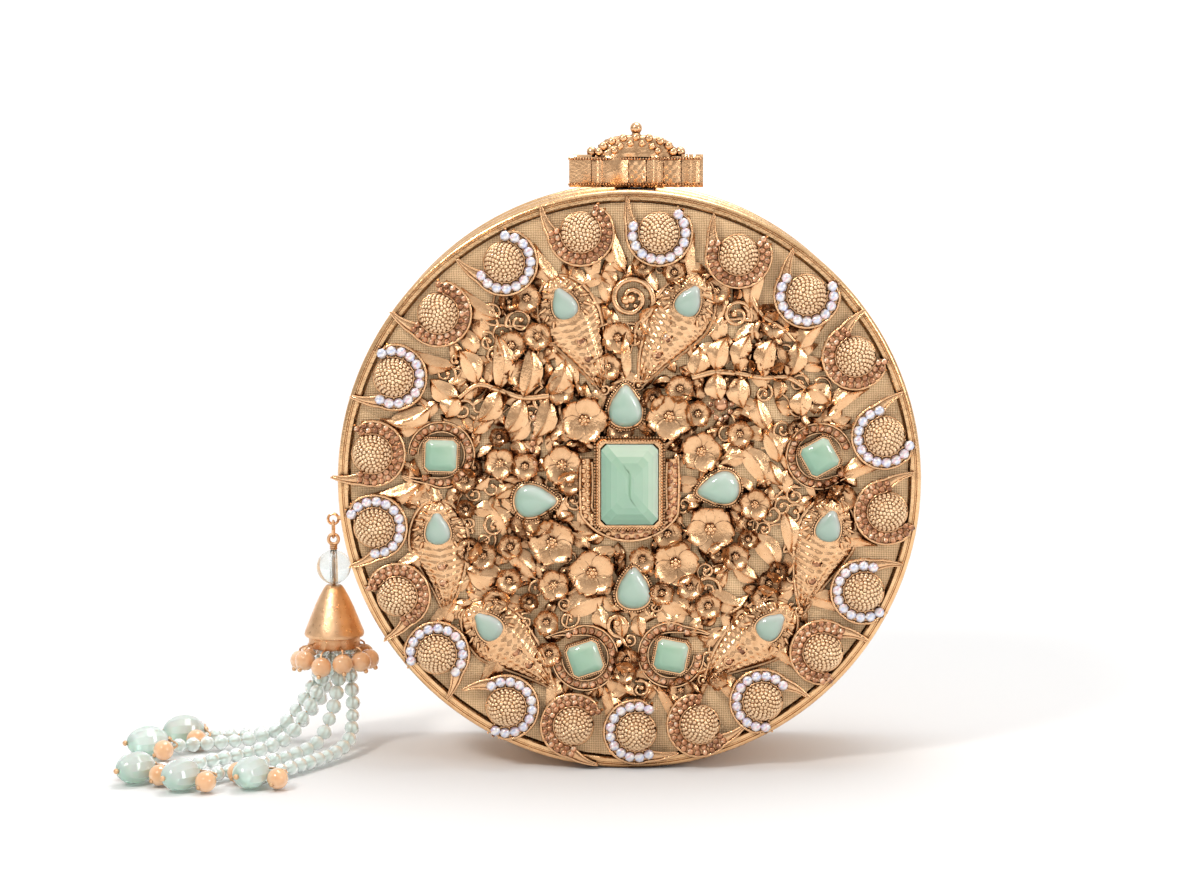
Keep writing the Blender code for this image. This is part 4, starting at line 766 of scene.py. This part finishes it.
def paisley(number):
    hx, hz, tx, tz, sense = PAISLEYS[number]
    length = math.hypot(tx - hx, tz - hz)
    direction = math.degrees(math.atan2(tz - hz, tx - hx))
    head, heading = (hx, hz), around(0, 0, 1, direction)
    batch = Batch()
    rows_n, across, back, widest, swell = 64, 24, 8.4, 8.3, 0.38

    def course(t):
        """Length, half width and sideways bow at t along."""
        if t < swell:
            half = widest * math.sqrt(max(0.0, 1 - ((swell - t) / 0.385) ** 2)) ** 0.9
        else:
            half = widest * (1 - ((t - swell) / (1 - swell)) ** 1.25) + 0.9 * (t - swell)
        bow = sense * 2.6 * math.sin(math.pi * max(0, t - 0.3) / 0.7 * 0.9) * max(0, t - 0.3)
        return (length + back) * t - back, max(half, 0.25), bow

    def form(t, s):
        u, half, bow = course(t)
        v = s * half + bow
        dome = 1.4 + 2.0 * (1 - abs(s) ** 2.2) * min(1, half / 5)
        scale = 0.20 * math.cos(u * 3.4 + abs(s) * 6.0) + 0.20 * math.cos(s * 16)
        keep = min(1, max(0, (math.hypot(u, v) - 4.2) / 1.5))
        return u, v, dome + scale * keep, 0.35

    relief(batch, head, heading, form, rows_n, across)
    courses = [course(r / (rows_n - 1)) for r in range(rows_n)]
    outline = [beside(head, heading, u, bow + half) for u, half, bow in courses]
    outline += [beside(head, heading, u, bow - half) for u, half, bow in reversed(courses)]
    batch.tube([on_face(*spot, 1.4) for spot in outline], 0.0005, GOLD, 7)
    ahead = beside(head, heading, 1.2, 0)
    inner = [on_face(ahead[0] + (x - hx) * 0.8, ahead[1] + (z - hz) * 0.8, 2.35) for x, z in outline]
    bead_line(batch, inner, 0.00030, True, 0.0009)
    cabochon(batch, *beside(head, heading, -1.0, 0), 9.3, 6.0, direction + 180, 2.2, 2.3, PALE)
    for share in (0.42, 0.62):
        rosette(batch, *beside(head, heading, length * share, sense * 0.6), 1.9 - share, 2.9)
    for side in (1, -1):
        for k in range(6):
            a = direction + side * (58 + 24 * k)
            base = on_face(*around(hx, hz, 5.2, a), 3.0)
            tip = on_face(*around(hx, hz, 7.3, a - side * 10), 3.0)
            end = tip + Vector((0, 0.0009, 0))
            batch.tube([base, (base + tip) / 2, end], [0.0005, 0.00042, 0.00025], GOLD, 6)
    curl(batch, *beside((tx, tz), heading, 0, sense * 1.5), 1.7, 1.1, direction - sense * 90, sense, 1.3, 0.5)
    batch.cast(f"paisley_{number + 1}", 50)


SQUARES = [
    (-51.5, 7.7, -2, 215, 1), (52.0, 7.3, 29, -20, -1),
    (-12.2, -48.7, 18, 146, -1), (11.5, -47.9, -11, 35, 1),
]


def polygon_rows(x, z, corners, steps):
    """Rings of one outline at several sizes and heights."""
    return [[on_face(x + cx * share, z + cz * share, rise) for cx, cz in corners] for share, rise in steps]


def square_setting(number):
    x, z, turn, tip_deg, sense = SQUARES[number]
    batch = Batch()
    corners = [around(0, 0, 5.4, turn + 45 + 90 * k + offset) for k in range(4) for offset in (-8, 8)]
    stone = ((0.9, 1.2), (0.9, 3.0), (0.98, 3.7), (0.86, 4.4), (0.60, 4.9))
    batch.grid(polygon_rows(x, z, corners, stone), MINT)
    wall = polygon_rows(x, z, corners, ((1.16, 0.4), (1.14, 3.0), (1.06, 3.7), (0.99, 3.7), (0.9, 0.4)))
    batch.grid(wall + wall[:1], GOLD, False)
    bead_line(batch, polygon_rows(x, z, corners, ((1.13, 3.5),))[0], 0.00030)
    path = comma_path(x, z, tip_deg, sense, 7.7, 12.0, 330, 40)
    taper = [min(1, 0.15 + i / 8) for i in range(40)]
    batch.tube([on_face(*spot, 1.0) for spot in path], [0.0014 * share for share in taper], GOLD, 8, 0.6)
    rails(batch, (x, z), path, (-1.35, 1.35), taper, 1.8, 0.0003)
    for i in range(19):
        spot = around(x, z, 7.7, tip_deg + sense * (20 + 300 * i / 18))
        batch.gem(on_face(*spot, 2.0), 0.00098, CHAMPAGNE, i * 0.5)
    batch.cast(f"square_setting_{number + 1}", 40, "mint_stone")


def cut_rectangle(half_w, half_l, corner):
    return [(half_w, half_l - corner), (half_w - corner, half_l), (-half_w + corner, half_l),
            (-half_w, half_l - corner), (-half_w, -half_l + corner), (-half_w + corner, -half_l),
            (half_w - corner, -half_l), (half_w, -half_l + corner)]


STONE_HALF_W = 7.75
STONE_HALF_L = 11.0


def centre_pieces():
    """Step-cut centre stone, its milgrain bezel and the crescent that holds it."""
    stone = Batch()
    steps = ((0.3, 3.2), (0.0, 5.4), (0.0, 5.9), (1.3, 7.0), (2.7, 7.8), (4.2, 8.15), (6.6, 8.4))
    stone.grid([[on_face(*spot, rise) for spot in
                 cut_rectangle(STONE_HALF_W - inset, STONE_HALF_L - inset * 1.15, 1.5)]
                for inset, rise in steps], MINT)
    stone.finish("centre_stone_cut", "mint_stone", "front_half", ["centre_stone"], 3)
    setting = Batch()
    wall = [[on_face(*spot, rise) for spot in cut_rectangle(STONE_HALF_W + grow, STONE_HALF_L + grow, 1.3)]
            for grow, rise in ((1.5, 0.6), (1.4, 4.8), (1.0, 5.7), (0.25, 5.7), (0.15, 0.6))]
    setting.grid(wall + wall[:1], GOLD, False)
    for grow, rise in ((1.0, 5.6), (1.7, 3.4)):
        edge = cut_rectangle(STONE_HALF_W + grow, STONE_HALF_L + grow, 1.0)
        bead_line(setting, [on_face(*spot, rise) for spot in edge], 0.00040)
    path = []
    for i in range(48):
        px, pz = around(0, 0, 14.2, 28 - (208 + 28) * i / 47)
        path.append((max(-11.8, min(11.8, px)), pz))
    setting.tube([on_face(*spot, 1.6) for spot in path], 0.0019, GOLD, 8, 0.6)
    rails(setting, (0, 0), path, (-1.75, 1.75), [1] * 48, 2.4, 0.00045)
    for i in range(46):
        px, pz = path[i + 1]
        f = 1 + (0.06 if i % 2 else -0.05)
        setting.gem(on_face(px * f, pz * f, 2.6), 0.00085, CHAMPAGNE if i < 26 else GOLD, i)
    setting.cast("centre_setting", 45)


PEARS = [(-1.1, 21.2, 90), (-25.7, -5.0, 0), (24.3, -1.6, 190), (1.2, -29.1, 90)]
FLOWERS = [
    (-12.4, 17.3, 6.6), (-18.5, 5.0, 5.6), (10.9, 18.3, 6.6), (19.6, 8.6, 5.8), (-21.3, -16.5, 6.6),
    (22.2, -12.8, 6.8), (12.7, -22.3, 6.6), (-10.3, -24.9, 6.6), (-35.4, 5.4, 4.6), (34.4, -6.0, 4.6),
    (-20.8, -28.3, 4.6),
]
# Leaves as base, tip and width, in millimetres from the case centre
LEAVES = [
    (-14.5, 26.0, -20.8, 36.2, 5.6), (-0.9, 28.2, -1.2, 41.4, 5.2), (-66.0, 15.8, -54.0, 21.0, 6.8),
    (30.5, 10.2, 37.8, -1.5, 6.6), (-25.5, -26.5, -34.8, -18.6, 6.0), (-34.5, -25.8, -45.0, -24.0, 7.6),
    (-7.0, -31.5, -18.0, -37.2, 7.6), (7.5, -31.5, 17.0, -36.8, 7.6), (21.5, -30.0, 32.5, -34.4, 5.4),
    (38.5, 14.0, 34.6, 24.0, 5.2), (41.0, 5.5, 36.5, 14.5, 5.4), (33.5, -13.8, 41.0, -24.5, 6.2),
    (-34.0, 11.0, -27.5, 19.5, 5.4), (-38.0, -6.0, -33.0, -16.5, 5.4), (-30.5, -1.0, -37.0, -4.5, 4.2),
    (13.5, 31.8, 20.5, 26.2, 5.0), (17.5, 36.0, 26.0, 37.6, 5.2), (42.5, -8.0, 44.0, -20.0, 5.0),
    (28.0, -21.5, 36.5, -27.5, 4.6), (-3.6, -36.0, -2.2, -44.0, 4.2), (2.5, -36.0, 4.0, -43.5, 4.2),
    (-28.0, -33.5, -37.0, -31.0, 4.6), (26.5, -37.0, 33.0, -31.0, 4.4), (-43.0, 13.5, -36.5, 18.0, 4.8),
    (-44.5, -1.5, -38.0, 2.8, 4.6), (42.0, -1.0, 38.5, 6.0, 4.4), (-8.5, 9.5, -13.0, 11.5, 3.2),
    (14.5, 12.0, 10.2, 9.0, 3.2), (-15.0, -9.0, -20.0, -11.0, 3.6), (15.5, -8.0, 20.0, -6.5, 3.6),
]
CURLS = [
    (0.4, 50.5, 6.6, 1.7, -60, 1, 0.95, (1.5, 38.0)), (-30.0, 44.1, 3.8, 1.4, 200, -1, 0.6, (-22.0, 38.0)),
    (-23.0, 22.7, 3.6, 1.5, 100, 1, 0.7, (-31.0, 30.5)), (29.3, 46.0, 4.2, 1.5, -20, 1, 0.6, (21.5, 40.5)),
    (21.4, -29.6, 3.8, 1.5, -30, 1, 0.6, (40.5, -31.0)), (-2.9, -39.5, 3.4, 1.4, -80, -1, 0.7, (-1.5, -55.0)),
    (-37.0, -12.0, 3.0, 1.3, 120, 1, 0.5, (-30.5, -5.0)), (42.0, 14.5, 2.8, 1.3, -120, -1, 0.5, (36.0, 9.5)),
    (-45.5, 20.0, 3.0, 1.3, 30, 1, 0.55, (-39.0, 26.0)), (3.0, -57.5, 2.6, 1.2, 120, -1, 0.5, (9.0, -60.0)),
    (-28.5, -38.5, 2.4, 1.3, 60, 1, 0.45, (-33.0, -33.0)), (46.5, 20.5, 2.6, 1.2, 200, 1, 0.5, (41.5, 24.5)),
]


FIELD_R = 60.0
FIELD_PITCH = 3.5
MEDALLION = (25.0, 21.6)


def filler_spots(taken):
    """Seeded places for the small leaves and buds that fill the field between the larger castings."""
    rng = random.Random(7)
    spots = []
    for _ in range(16000):
        reach = FIELD_R * math.sqrt(rng.random())
        angle = rng.random() * 360
        x, z = around(0, 0, reach, angle)
        if all(math.hypot(x - a, z - b) > r + 0.4 for a, b, r in taken) and \
                all(math.hypot(x - a, z - b) > FIELD_PITCH for a, b, _ in spots):
            spots.append((x, z, rng.random()))
    return spots


def panel_castings():
    """Flowers, leaves, scrolls and pear stones that are fixed to the silk."""
    batch = Batch()
    for x, z, point in PEARS:
        cabochon(batch, x, z, 11.5, 7.9, point, 1.4, 3.4, PALE)
    for i, (x, z, radius) in enumerate(FLOWERS):
        flower(batch, x, z, radius, 25 * i, 1.0)
    for i, (bx, bz, tx, tz, width) in enumerate(LEAVES):
        leaf(batch, (bx, bz), (tx, tz), width, 0.7 + 0.2 * (i % 3), 1.5, 0.10 if i % 2 else -0.10)
    for x, z, radius, turns, start, sense, wire, stem in CURLS:
        curl(batch, x, z, radius, turns, start, sense, 1.3, wire, stem)
    scroll = CURLS[0][:2]
    batch.ball(on_face(*scroll, 2.2), 0.0013, GOLD, 1.0, 6, 10)
    for k in range(6):
        batch.ball(on_face(*around(*scroll, 2.2, 60 * k), 1.8), 0.0007, GOLD, 1.0, 5, 8)
    for k in range(12):
        a = 2 * math.pi * k / 12
        spot = MEDALLION[0] + 2.9 * math.cos(a), MEDALLION[1] + 4.1 * math.sin(a)
        batch.gem(on_face(*spot, 1.9), 0.0008, CHAMPAGNE, k)
    batch.gem(on_face(*MEDALLION, 1.9), 0.0021, CHAMPAGNE, 0.4)
    for k in range(9):
        batch.gem(on_face(-26.0 + 0.5 * math.sin(k), 18.0 - 1.8 * k, 2.0), 0.00085, CHAMPAGNE, k)
    twig = bezier([on_face(32.5, 52.5, 1.2), on_face(36.0, 46.0, 1.8), on_face(41.5, 42.5, 1.8),
                   on_face(45.5, 38.4, 1.2)], 16)
    batch.tube(twig, [0.0009 * (1 - 0.5 * k / 15) for k in range(16)], GOLD, 8)
    batch.finish("panel_castings", "antique_gold", "front_half", [], 62)


def taken_places():
    """Circles that the larger castings cover, as x, z and radius."""
    taken = [(x, z, 5.2) for x, z, _ in PEARS] + [(x, z, r * 0.9) for x, z, r in FLOWERS]
    for bx, bz, tx, tz, _ in LEAVES:
        taken.append(((bx + tx) / 2, (bz + tz) / 2, math.hypot(bx - tx, bz - tz) * 0.38))
    taken += [entry[:3] for entry in CURLS] + [(0, 0, 14.5), (0, -10, 10), (*MEDALLION, 4)]
    taken += [(x, z, 9.0) for x, z, *_ in SQUARES]
    for hx, hz, tx, tz, _ in PAISLEYS:
        taken += [(hx + (tx - hx) * s, hz + (tz - hz) * s, 7.0 - 5 * s) for s in (0, 0.35, 0.7, 1.0)]
    return taken


def field_castings():
    """Small leaves, curls and buds between the larger castings, and pointed leaves at the rim."""
    batch = Batch()
    spots = filler_spots(taken_places())
    rng = random.Random(11)
    for x, z, pick in spots:
        direction = rng.random() * 360
        size = 2.9 + 2.0 * rng.random()
        if pick < 0.62:
            tip, base = around(x, z, size, direction), around(x, z, -size, direction)
            leaf(batch, base, tip, size * 1.05, 0.5, 1.3, 0.12, 10, 6)
        elif pick < 0.8:
            curl(batch, x, z, size * 0.75, 1.3, direction, 1 if pick < 0.7 else -1, 1.1, 0.5,
                 around(x, z, size * 1.7, direction + 140))
        else:
            flower(batch, x, z, size * 0.95, direction, 0.6, 5, 4)
    for base, tip in EDGE_LEAVES:
        leaf(batch, base, tip, 5.2, 0.9, 1.6, 0.15, 12, 8)
        angle = math.degrees(math.atan2(base[1], base[0]))
        for turn, reach in ((-5.2, 63.5), (5.0, 64.5)):
            leaf(batch, base, around(0, 0, reach, angle + turn), 3.4, 0.5, 1.2, -0.1, 10, 6)
    batch.finish("field_castings", "antique_gold", "front_half", [], 62)


# Small pointed leaves that show between the rim settings and the field, as base and tip
EDGE_LEAVES = [
    (around(0, 0, 57.0, a - 1), around(0, 0, 70.5, a + 1.5)) for a in
    (110, 92, 74, 56, 38, 20, 2, -16, -33, -50, -66, -81, -96, -111, -128, -146, -162, -179, 164, 147, 129)
]
# Each spray's stem, and its leaves as the stem point that they grow from and their tip
SPRAYS = {
    "leaf_spray_left": (
        [(-22.0, 24.0), (-29.0, 23.5), (-35.5, 25.5), (-41.5, 27.0), (-46.5, 23.5)],
        [(0, -17.5, 34.0), (0, -26.2, 12.0), (1, -27.5, 38.0), (1, -34.5, 13.5), (2, -36.5, 41.0),
         (2, -41.5, 17.0), (3, -46.5, 36.5), (4, -54.5, 28.5), (4, -50.0, 18.0)]),
    "leaf_spray_right": (
        [(17.0, 29.0), (23.5, 30.5), (30.0, 30.0), (36.5, 29.0), (43.0, 29.0), (48.0, 26.0)],
        [(0, 19.0, 37.5), (1, 26.5, 40.0), (1, 25.0, 22.5), (2, 33.0, 41.0), (2, 31.0, 20.5),
         (3, 39.5, 40.0), (4, 45.5, 39.0), (5, 55.0, 22.0), (5, 47.0, 18.0)]),
}


def sprays():
    for name, (stem, leaves) in SPRAYS.items():
        batch = Batch()
        path = bezier([on_face(x, z, 2.0) for x, z in stem], 24)
        batch.tube(path, [0.00095 * (1 - 0.3 * k / 23) for k in range(24)], GOLD, 8)
        for i, (index, tx, tz) in enumerate(leaves):
            leaf(batch, stem[index], (tx, tz), 5.8, 1.5 + 0.25 * (i % 3), 1.7, 0.12 if i % 2 else -0.12)
        batch.cast(name, 62)


def turned(batch, profile, centre, finish, sides=64):
    """Surface of revolution about an upright axis from a closed profile of (radius, height)."""
    batch.grid([circle(centre + Z * height, radius, X, Y, sides) for radius, height in profile], finish)


def upright_ring(batch, centre, radius, wire, finish, count=40, sides=10):
    """Ring of round wire that stands across the Y axis."""
    rows = []
    for spot in circle(centre, radius, X, Z, count):
        rows.append(circle(spot, wire, (spot - centre).normalized(), Y, sides))
    batch.grid(rows + rows[:1], finish, False)


CROWN_X = 0.0019
CROWN_HALF = 0.0185
CROWN_FRONT = -0.0078
CROWN_BACK = -0.0046
CROWN_BASE = 2 * CENTRE_Z + 0.0003
CROWN_TOP = CROWN_BASE + 0.0088
CROWN_MIDDLE = -0.0062
# The crown's panels: both ends as shares of its width, how far proud, how tall, and the tooling
CROWN_PANELS = [
    (0.0, 0.17, 0.0, 1.02, "smooth"), (0.17, 0.27, 0.5, 0.94, "ribs"), (0.27, 0.44, 0.9, 1.0, "lobe"),
    (0.44, 0.58, 0.3, 0.96, "seeds"), (0.58, 0.70, 0.7, 1.02, "ribs"), (0.70, 0.84, 0.4, 0.97, "seeds"),
    (0.84, 1.0, 0.8, 1.03, "ribs"),
]


def tooling(style, t, s):
    """Height of a panel's tooling at the shares t across and s up."""
    if style == "ribs":
        return 0.00018 * math.cos(t * 6 * math.pi)
    if style == "seeds":
        return 0.00020 * math.cos(t * 5 * math.pi) * math.cos(s * 7 * math.pi)
    if style == "lobe":
        return 0.0005 * math.sin(math.pi * s) * math.sin(math.pi * t)
    return 0.0


def crown_panels(batch):
    for start, end, proud, tall, style in CROWN_PANELS:
        rows = []
        for i in range(17):
            t = i / 16
            x = CROWN_X + CROWN_HALF * (2 * (start + (end - start) * t) - 1)
            bulge = 0.0004 * proud + 0.0006 * math.sin(math.pi * t)
            row = []
            for k in range(13):
                s = k / 12
                edge = 0.0004 if k in (0, 12) else 0
                y = CROWN_FRONT - bulge - tooling(style, t, s) + edge
                row.append(Vector((x, y, CROWN_BASE + (CROWN_TOP - CROWN_BASE) * tall * s)))
            rows.append(row + [Vector((x, CROWN_BACK, CROWN_TOP)), Vector((x, CROWN_BACK, CROWN_BASE))])
        batch.grid(rows, GOLD)
    for z in (CROWN_BASE + 0.0008, CROWN_TOP - 0.0009):
        line = [Vector((CROWN_X + CROWN_HALF * (i / 20 - 1), CROWN_FRONT - 0.0009, z)) for i in range(41)]
        bead_line(batch, line, 0.00038, False)


def crown_dome(batch):
    """Knobbly dome with two arcs of balls, side balls and the ball on top."""
    rows = []
    for r in range(15):
        t = r / 14
        a = math.pi / 2 * t
        row = []
        for i in range(56):
            phi = 2 * math.pi * i / 56
            turn = phi * 9 + (r // 3 % 2) * math.pi
            knob = 0.0006 * math.cos(turn) * math.cos(t * 5 * math.pi) * math.cos(a)
            wide = 0.0112 * math.cos(a) ** 0.75 + 0.0003 + knob
            deep = 0.0026 * math.cos(a) ** 0.6 + knob * 0.6
            row.append(Vector((CROWN_X + wide * math.cos(phi), CROWN_MIDDLE + deep * math.sin(phi),
                               CROWN_TOP - 0.0004 + 0.0060 * math.sin(a))))
        rows.append(row)
    batch.grid(rows, GOLD)
    for count, spread, proud, low, rise, radius in ((9, 0.0104, 0.0017, 0.0001, 0.0049, 0.0012),
                                                    (6, 0.0062, 0.0022, 0.0005, 0.0028, 0.0010)):
        for k in range(count):
            a = math.pi * (k + 0.5) / count
            x, z = CROWN_X + spread * math.cos(a), CROWN_TOP + low + rise * math.sin(a)
            batch.ball((x, CROWN_MIDDLE - proud, z), radius, GOLD, 0.8, 7, 10)
    for shift, rise, radius in ((-0.0122, 0.0009, 0.0015), (0.0122, 0.0009, 0.0015), (0, 0.0056, 0.0013)):
        batch.ball((CROWN_X + shift, CROWN_MIDDLE, CROWN_TOP + rise), radius, GOLD, 0.9, 8, 12)
    batch.ball((CROWN_X, CROWN_MIDDLE, CROWN_TOP + 0.0074), 0.0017, GOLD, 1.0, 10, 14)


def crown_arm(batch):
    """Flat arm from the crown back to the barrel that turns on the pin."""
    half, low, high = 0.0060, 2 * CENTRE_Z + 0.0016, 2 * CENTRE_Z + 0.0028
    section = [(-0.0055, low), (0.0060, low), (0.0060, high), (-0.0055, high)]
    sides = [CROWN_X + share * half for share in (-1, -0.98, 0.98, 1)]
    batch.grid([[Vector((x, y, z)) for y, z in section] for x in sides], GOLD)
    pivot = next(joint for joint in frame["joints"] if joint["name"] == "clasp_lift")["pos_m"]
    barrel = Vector((CROWN_X, pivot[1], pivot[2]))
    shares = (-1.0, -0.97, 0.97, 1.0)
    batch.grid([circle(barrel + X * share * half, 0.0014, Y, Z, 24) for share in shares], GOLD)


def crown():
    """Cast crown on the clasp's bar."""
    batch = Batch()
    crown_panels(batch)
    crown_dome(batch)
    crown_arm(batch)
    batch.finish("crown_cast", "antique_gold", "clasp", ["crown_clasp"], 45)


def tassel_axis():
    low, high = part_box("clear_bead")
    return Vector(((low[0] + high[0]) / 2, (low[1] + high[1]) / 2, 0))


def tassel():
    """Cap with its wire eye, clear bead and ring of peach pearls."""
    cap_low, cap_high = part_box("tassel_cap")
    bead_low, bead_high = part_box("clear_bead")
    axis = tassel_axis()
    skirt, eye_z = cap_low[2], cap_high[2] - 0.0019
    base, top = skirt + 0.0036, skirt + 0.0178
    cap = Batch()
    profile = [(0.0052, skirt + 0.001), (0.0056, skirt + 0.0001), (0.0070, skirt), (0.0073, skirt + 0.0004),
               (0.0073, skirt + 0.0026), (0.0076, base - 0.0005), (0.0083, base - 0.0003),
               (0.0085, base + 0.0003), (0.0084, base + 0.0009), (0.0070, base + 0.0044),
               (0.0055, base + 0.0082), (0.0040, base + 0.0113), (0.0029, base + 0.0133),
               (0.0024, top - 0.0002), (0.0021, top), (0.0009, top)]
    turned(cap, profile, axis, CAP_GOLD)
    turned(cap, [(0.0005, top - 0.001), (0.0005, eye_z - 0.0012)], axis, CAP_GOLD, 12)
    upright_ring(cap, axis + Z * eye_z, 0.0014, 0.0005, CAP_GOLD)
    for k in range(3):
        wrap = circle(axis + Z * (bead_high[2] + 0.0003 + 0.0005 * k), 0.0009, X, Y, 20)
        cap.tube(wrap + wrap[:2], 0.00024, CAP_GOLD, 6)
    cap.finish("tassel_cap_turned", "brushed_gold", "tassel", ["tassel_cap"], 40)
    bead = Batch()
    radius, hole = 0.0049, 0.0008
    bore = [(hole, radius - 0.0002), (hole, -radius + 0.0002)]
    latitudes = [math.pi * (k / 24 - 0.5) * 0.9 for k in range(25)]
    profile = bore[1:] + [(radius * math.cos(a), radius * math.sin(a)) for a in latitudes] + bore
    turned(bead, profile, axis + Z * (bead_low[2] + bead_high[2]) / 2, CLEAR, 48)
    bead.finish("clear_bead_round", "clear_glass", "tassel", ["clear_bead"], 60)
    pearls = Batch()
    for k, out in enumerate(circle(Vector(), 1, X, Y, 10)):
        middle = axis + out * 0.0098 + Z * (skirt - 0.0036 + 0.0007 * math.sin(k * 2.4))
        pearls.ball(middle, 0.0029, PEARL, 1.0, 14, 20)
        pearls.ball(middle + out * 0.0018 - Z * 0.0025, 0.0007, CAP_GOLD, 1.0, 6, 8)
        wire = [middle - Z * 0.0026, middle + out * 0.0002 + Z * 0.0030,
                middle + Z * 0.0042 - out * 0.0022, middle + Z * 0.0040 - out * 0.0042]
        pearls.tube(bezier(wire, 9), 0.00028, CAP_GOLD, 6)
    pearls.finish("pearl_ring", "peach_pearl", "tassel", ["pearl_cluster"], 60)


# Strands: where each leaves the cap, in degrees, and its way points in millimetres from the tassel's axis
STRANDS = [
    (110, [(-6.1, 7.3, 10.5), (-15.6, 6.8, 3.2), (-38.6, 1.3, 2.4)]),
    (170, [(-11.1, 0.8, 10.5), (-20.6, -1.7, 3.2), (-47.1, -12.7, 2.4)]),
    (230, [(-8.1, -8.2, 10.5), (-17.1, -15.2, 3.2), (-46.6, -44.2, 2.4)]),
    (290, [(-0.6, -11.7, 10.5), (-7.1, -21.2, 3.2), (-33.6, -52.2, 2.4)]),
    (350, [(5.6, -8.2, 10.5), (2.9, -19.2, 3.2), (-15.6, -49.2, 2.4)]),
]
LONE_DROP = 1


def bead_centres(points):
    """Evenly spaced beads on a smooth curve through the points, and the curve's length."""
    fine = bezier(points, 240)
    lengths = [0.0]
    for p, q in zip(fine, fine[1:]):
        lengths.append(lengths[-1] + (q - p).length)
    count = round(lengths[-1] / 0.0042)
    centres = []
    for i in range(count + 1):
        wanted = lengths[-1] * i / count
        k = min(max(sum(length < wanted for length in lengths), 1), len(fine) - 1)
        share = (wanted - lengths[k - 1]) / (lengths[k] - lengths[k - 1])
        centres.append(fine[k - 1].lerp(fine[k], share))
    return centres, lengths[-1]


def strand_end(number, last, heading):
    """Oval stone drop, small peach beads and their wire loops at a strand's end."""
    side = Vector((-heading.y, heading.x, 0))
    middle = last + heading * 0.0049
    middle.z = 0.0045
    end = Batch()
    rows = []
    for r in range(1, 16):
        t = math.pi * r / 16
        rows.append(circle(middle - heading * 0.0060 * math.cos(t), 0.0044 * math.sin(t), side, Z, 12))
    end.grid(rows, DROP)
    end.ball(middle + heading * 0.0064, 0.0008, CAP_GOLD, 1.0, 6, 8)
    end.ball(middle - heading * 0.0062, 0.0009, CAP_GOLD, 1.0, 6, 8)
    for sign in (1,) if number == LONE_DROP else (-1, 1):
        spot = middle + side * 0.0068 * sign - heading * 0.0028
        spot.z = 0.0031
        end.ball(spot, 0.0029, PEARL, 1.0, 12, 16)
        end.ball(spot + heading * 0.0026 - Z * 0.0012, 0.0007, CAP_GOLD, 1.0, 6, 8)
        loop = [spot - heading * 0.0026, spot - heading * 0.0040 + Z * 0.0012,
                (spot + middle) / 2 - heading * 0.0048 + Z * 0.0010, middle - heading * 0.0062]
        end.tube(bezier(loop, 9), 0.0003, CAP_GOLD, 6)
    return end.finish(f"string_end_{number + 1}", "aqua_bead", "tassel", [f"strand_{number + 1}"], 25)


def strands():
    """Bead strings that come first, each with its drop."""
    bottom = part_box("tassel_cap")[0][2]
    below_pearls = bottom - 0.0036 - 0.0029 - 0.0011
    axis = tassel_axis()
    for number, (start, way) in enumerate(STRANDS):
        a = math.radians(start)
        sx, sy = axis.x + 0.0046 * math.cos(a), axis.y + 0.0046 * math.sin(a)
        points = [Vector((sx, sy, z)) for z in (bottom - 0.0003, (bottom + below_pearls) / 2, below_pearls)]
        points += [Vector((axis.x + dx / 1000, axis.y + dy / 1000, h / 1000)) for dx, dy, h in way]
        centres, length = bead_centres(points)
        string = Batch()
        for i, centre in enumerate(centres):
            string.ball(centre, 0.00215 if i % 5 else 0.00195, AQUA, 1.0, 10, 14)
        for p, q in zip(centres, centres[1:]):
            string.tube([p, q], 0.0003, CAP_GOLD, 6)
        name = f"bead_string_{number + 1}"
        piece = string.finish(name, "aqua_bead", "tassel", [f"strand_{number + 1}"], 60)
        heading = centres[-1] - centres[-2]
        heading.z = 0
        heading.normalize()
        drop = strand_end(number, points[-1], heading)


def lining(name, side):
    """Satin dish inside one half, softly quilted."""
    outer = [(0.0764, 0.0037), (0.0764, 0.0190), (0.0745, 0.0196), (0.050, 0.0198), (0.025, 0.0198),
             (0.00006, 0.0198)]
    inner = [(max(r - 0.0008, 0.00003), y - 0.0008 if y > 0.01 else y) for r, y in reversed(outer)]
    rows = []
    for r, y in outer + inner:
        row = disc_row(r, side * y)
        rows.append([v + Y * side * 0.00012 * math.cos(i * math.pi / 2) for i, v in enumerate(row)])
    rows.append(rows[0])
    batch = Batch()
    batch.grid(rows, SATIN, False)
    batch.finish(name + "_satin", "lining_satin", BODY[name], [name], 60)


place_camera()
set_stage()
strands()
tassel()
make_bands()
round_panel("front_panel", -1)
round_panel("back_panel", 1)
lining("front_lining", -1)
lining("back_lining", 1)
for number in range(len(RIM)):
    rim_setting(number)
for number in range(len(PAISLEYS)):
    paisley(number)
for number in range(len(SQUARES)):
    square_setting(number)
centre_pieces()
sprays()
panel_castings()
field_castings()
crown()

for node in frame["nodes"]:
    finish = STEEL if any(key in node for key in ("pin", "magnet", "keeper")) else GOLD
    target = bpy.data.objects[node]
    target.data.materials.clear()
    target.data.materials.append(finish)
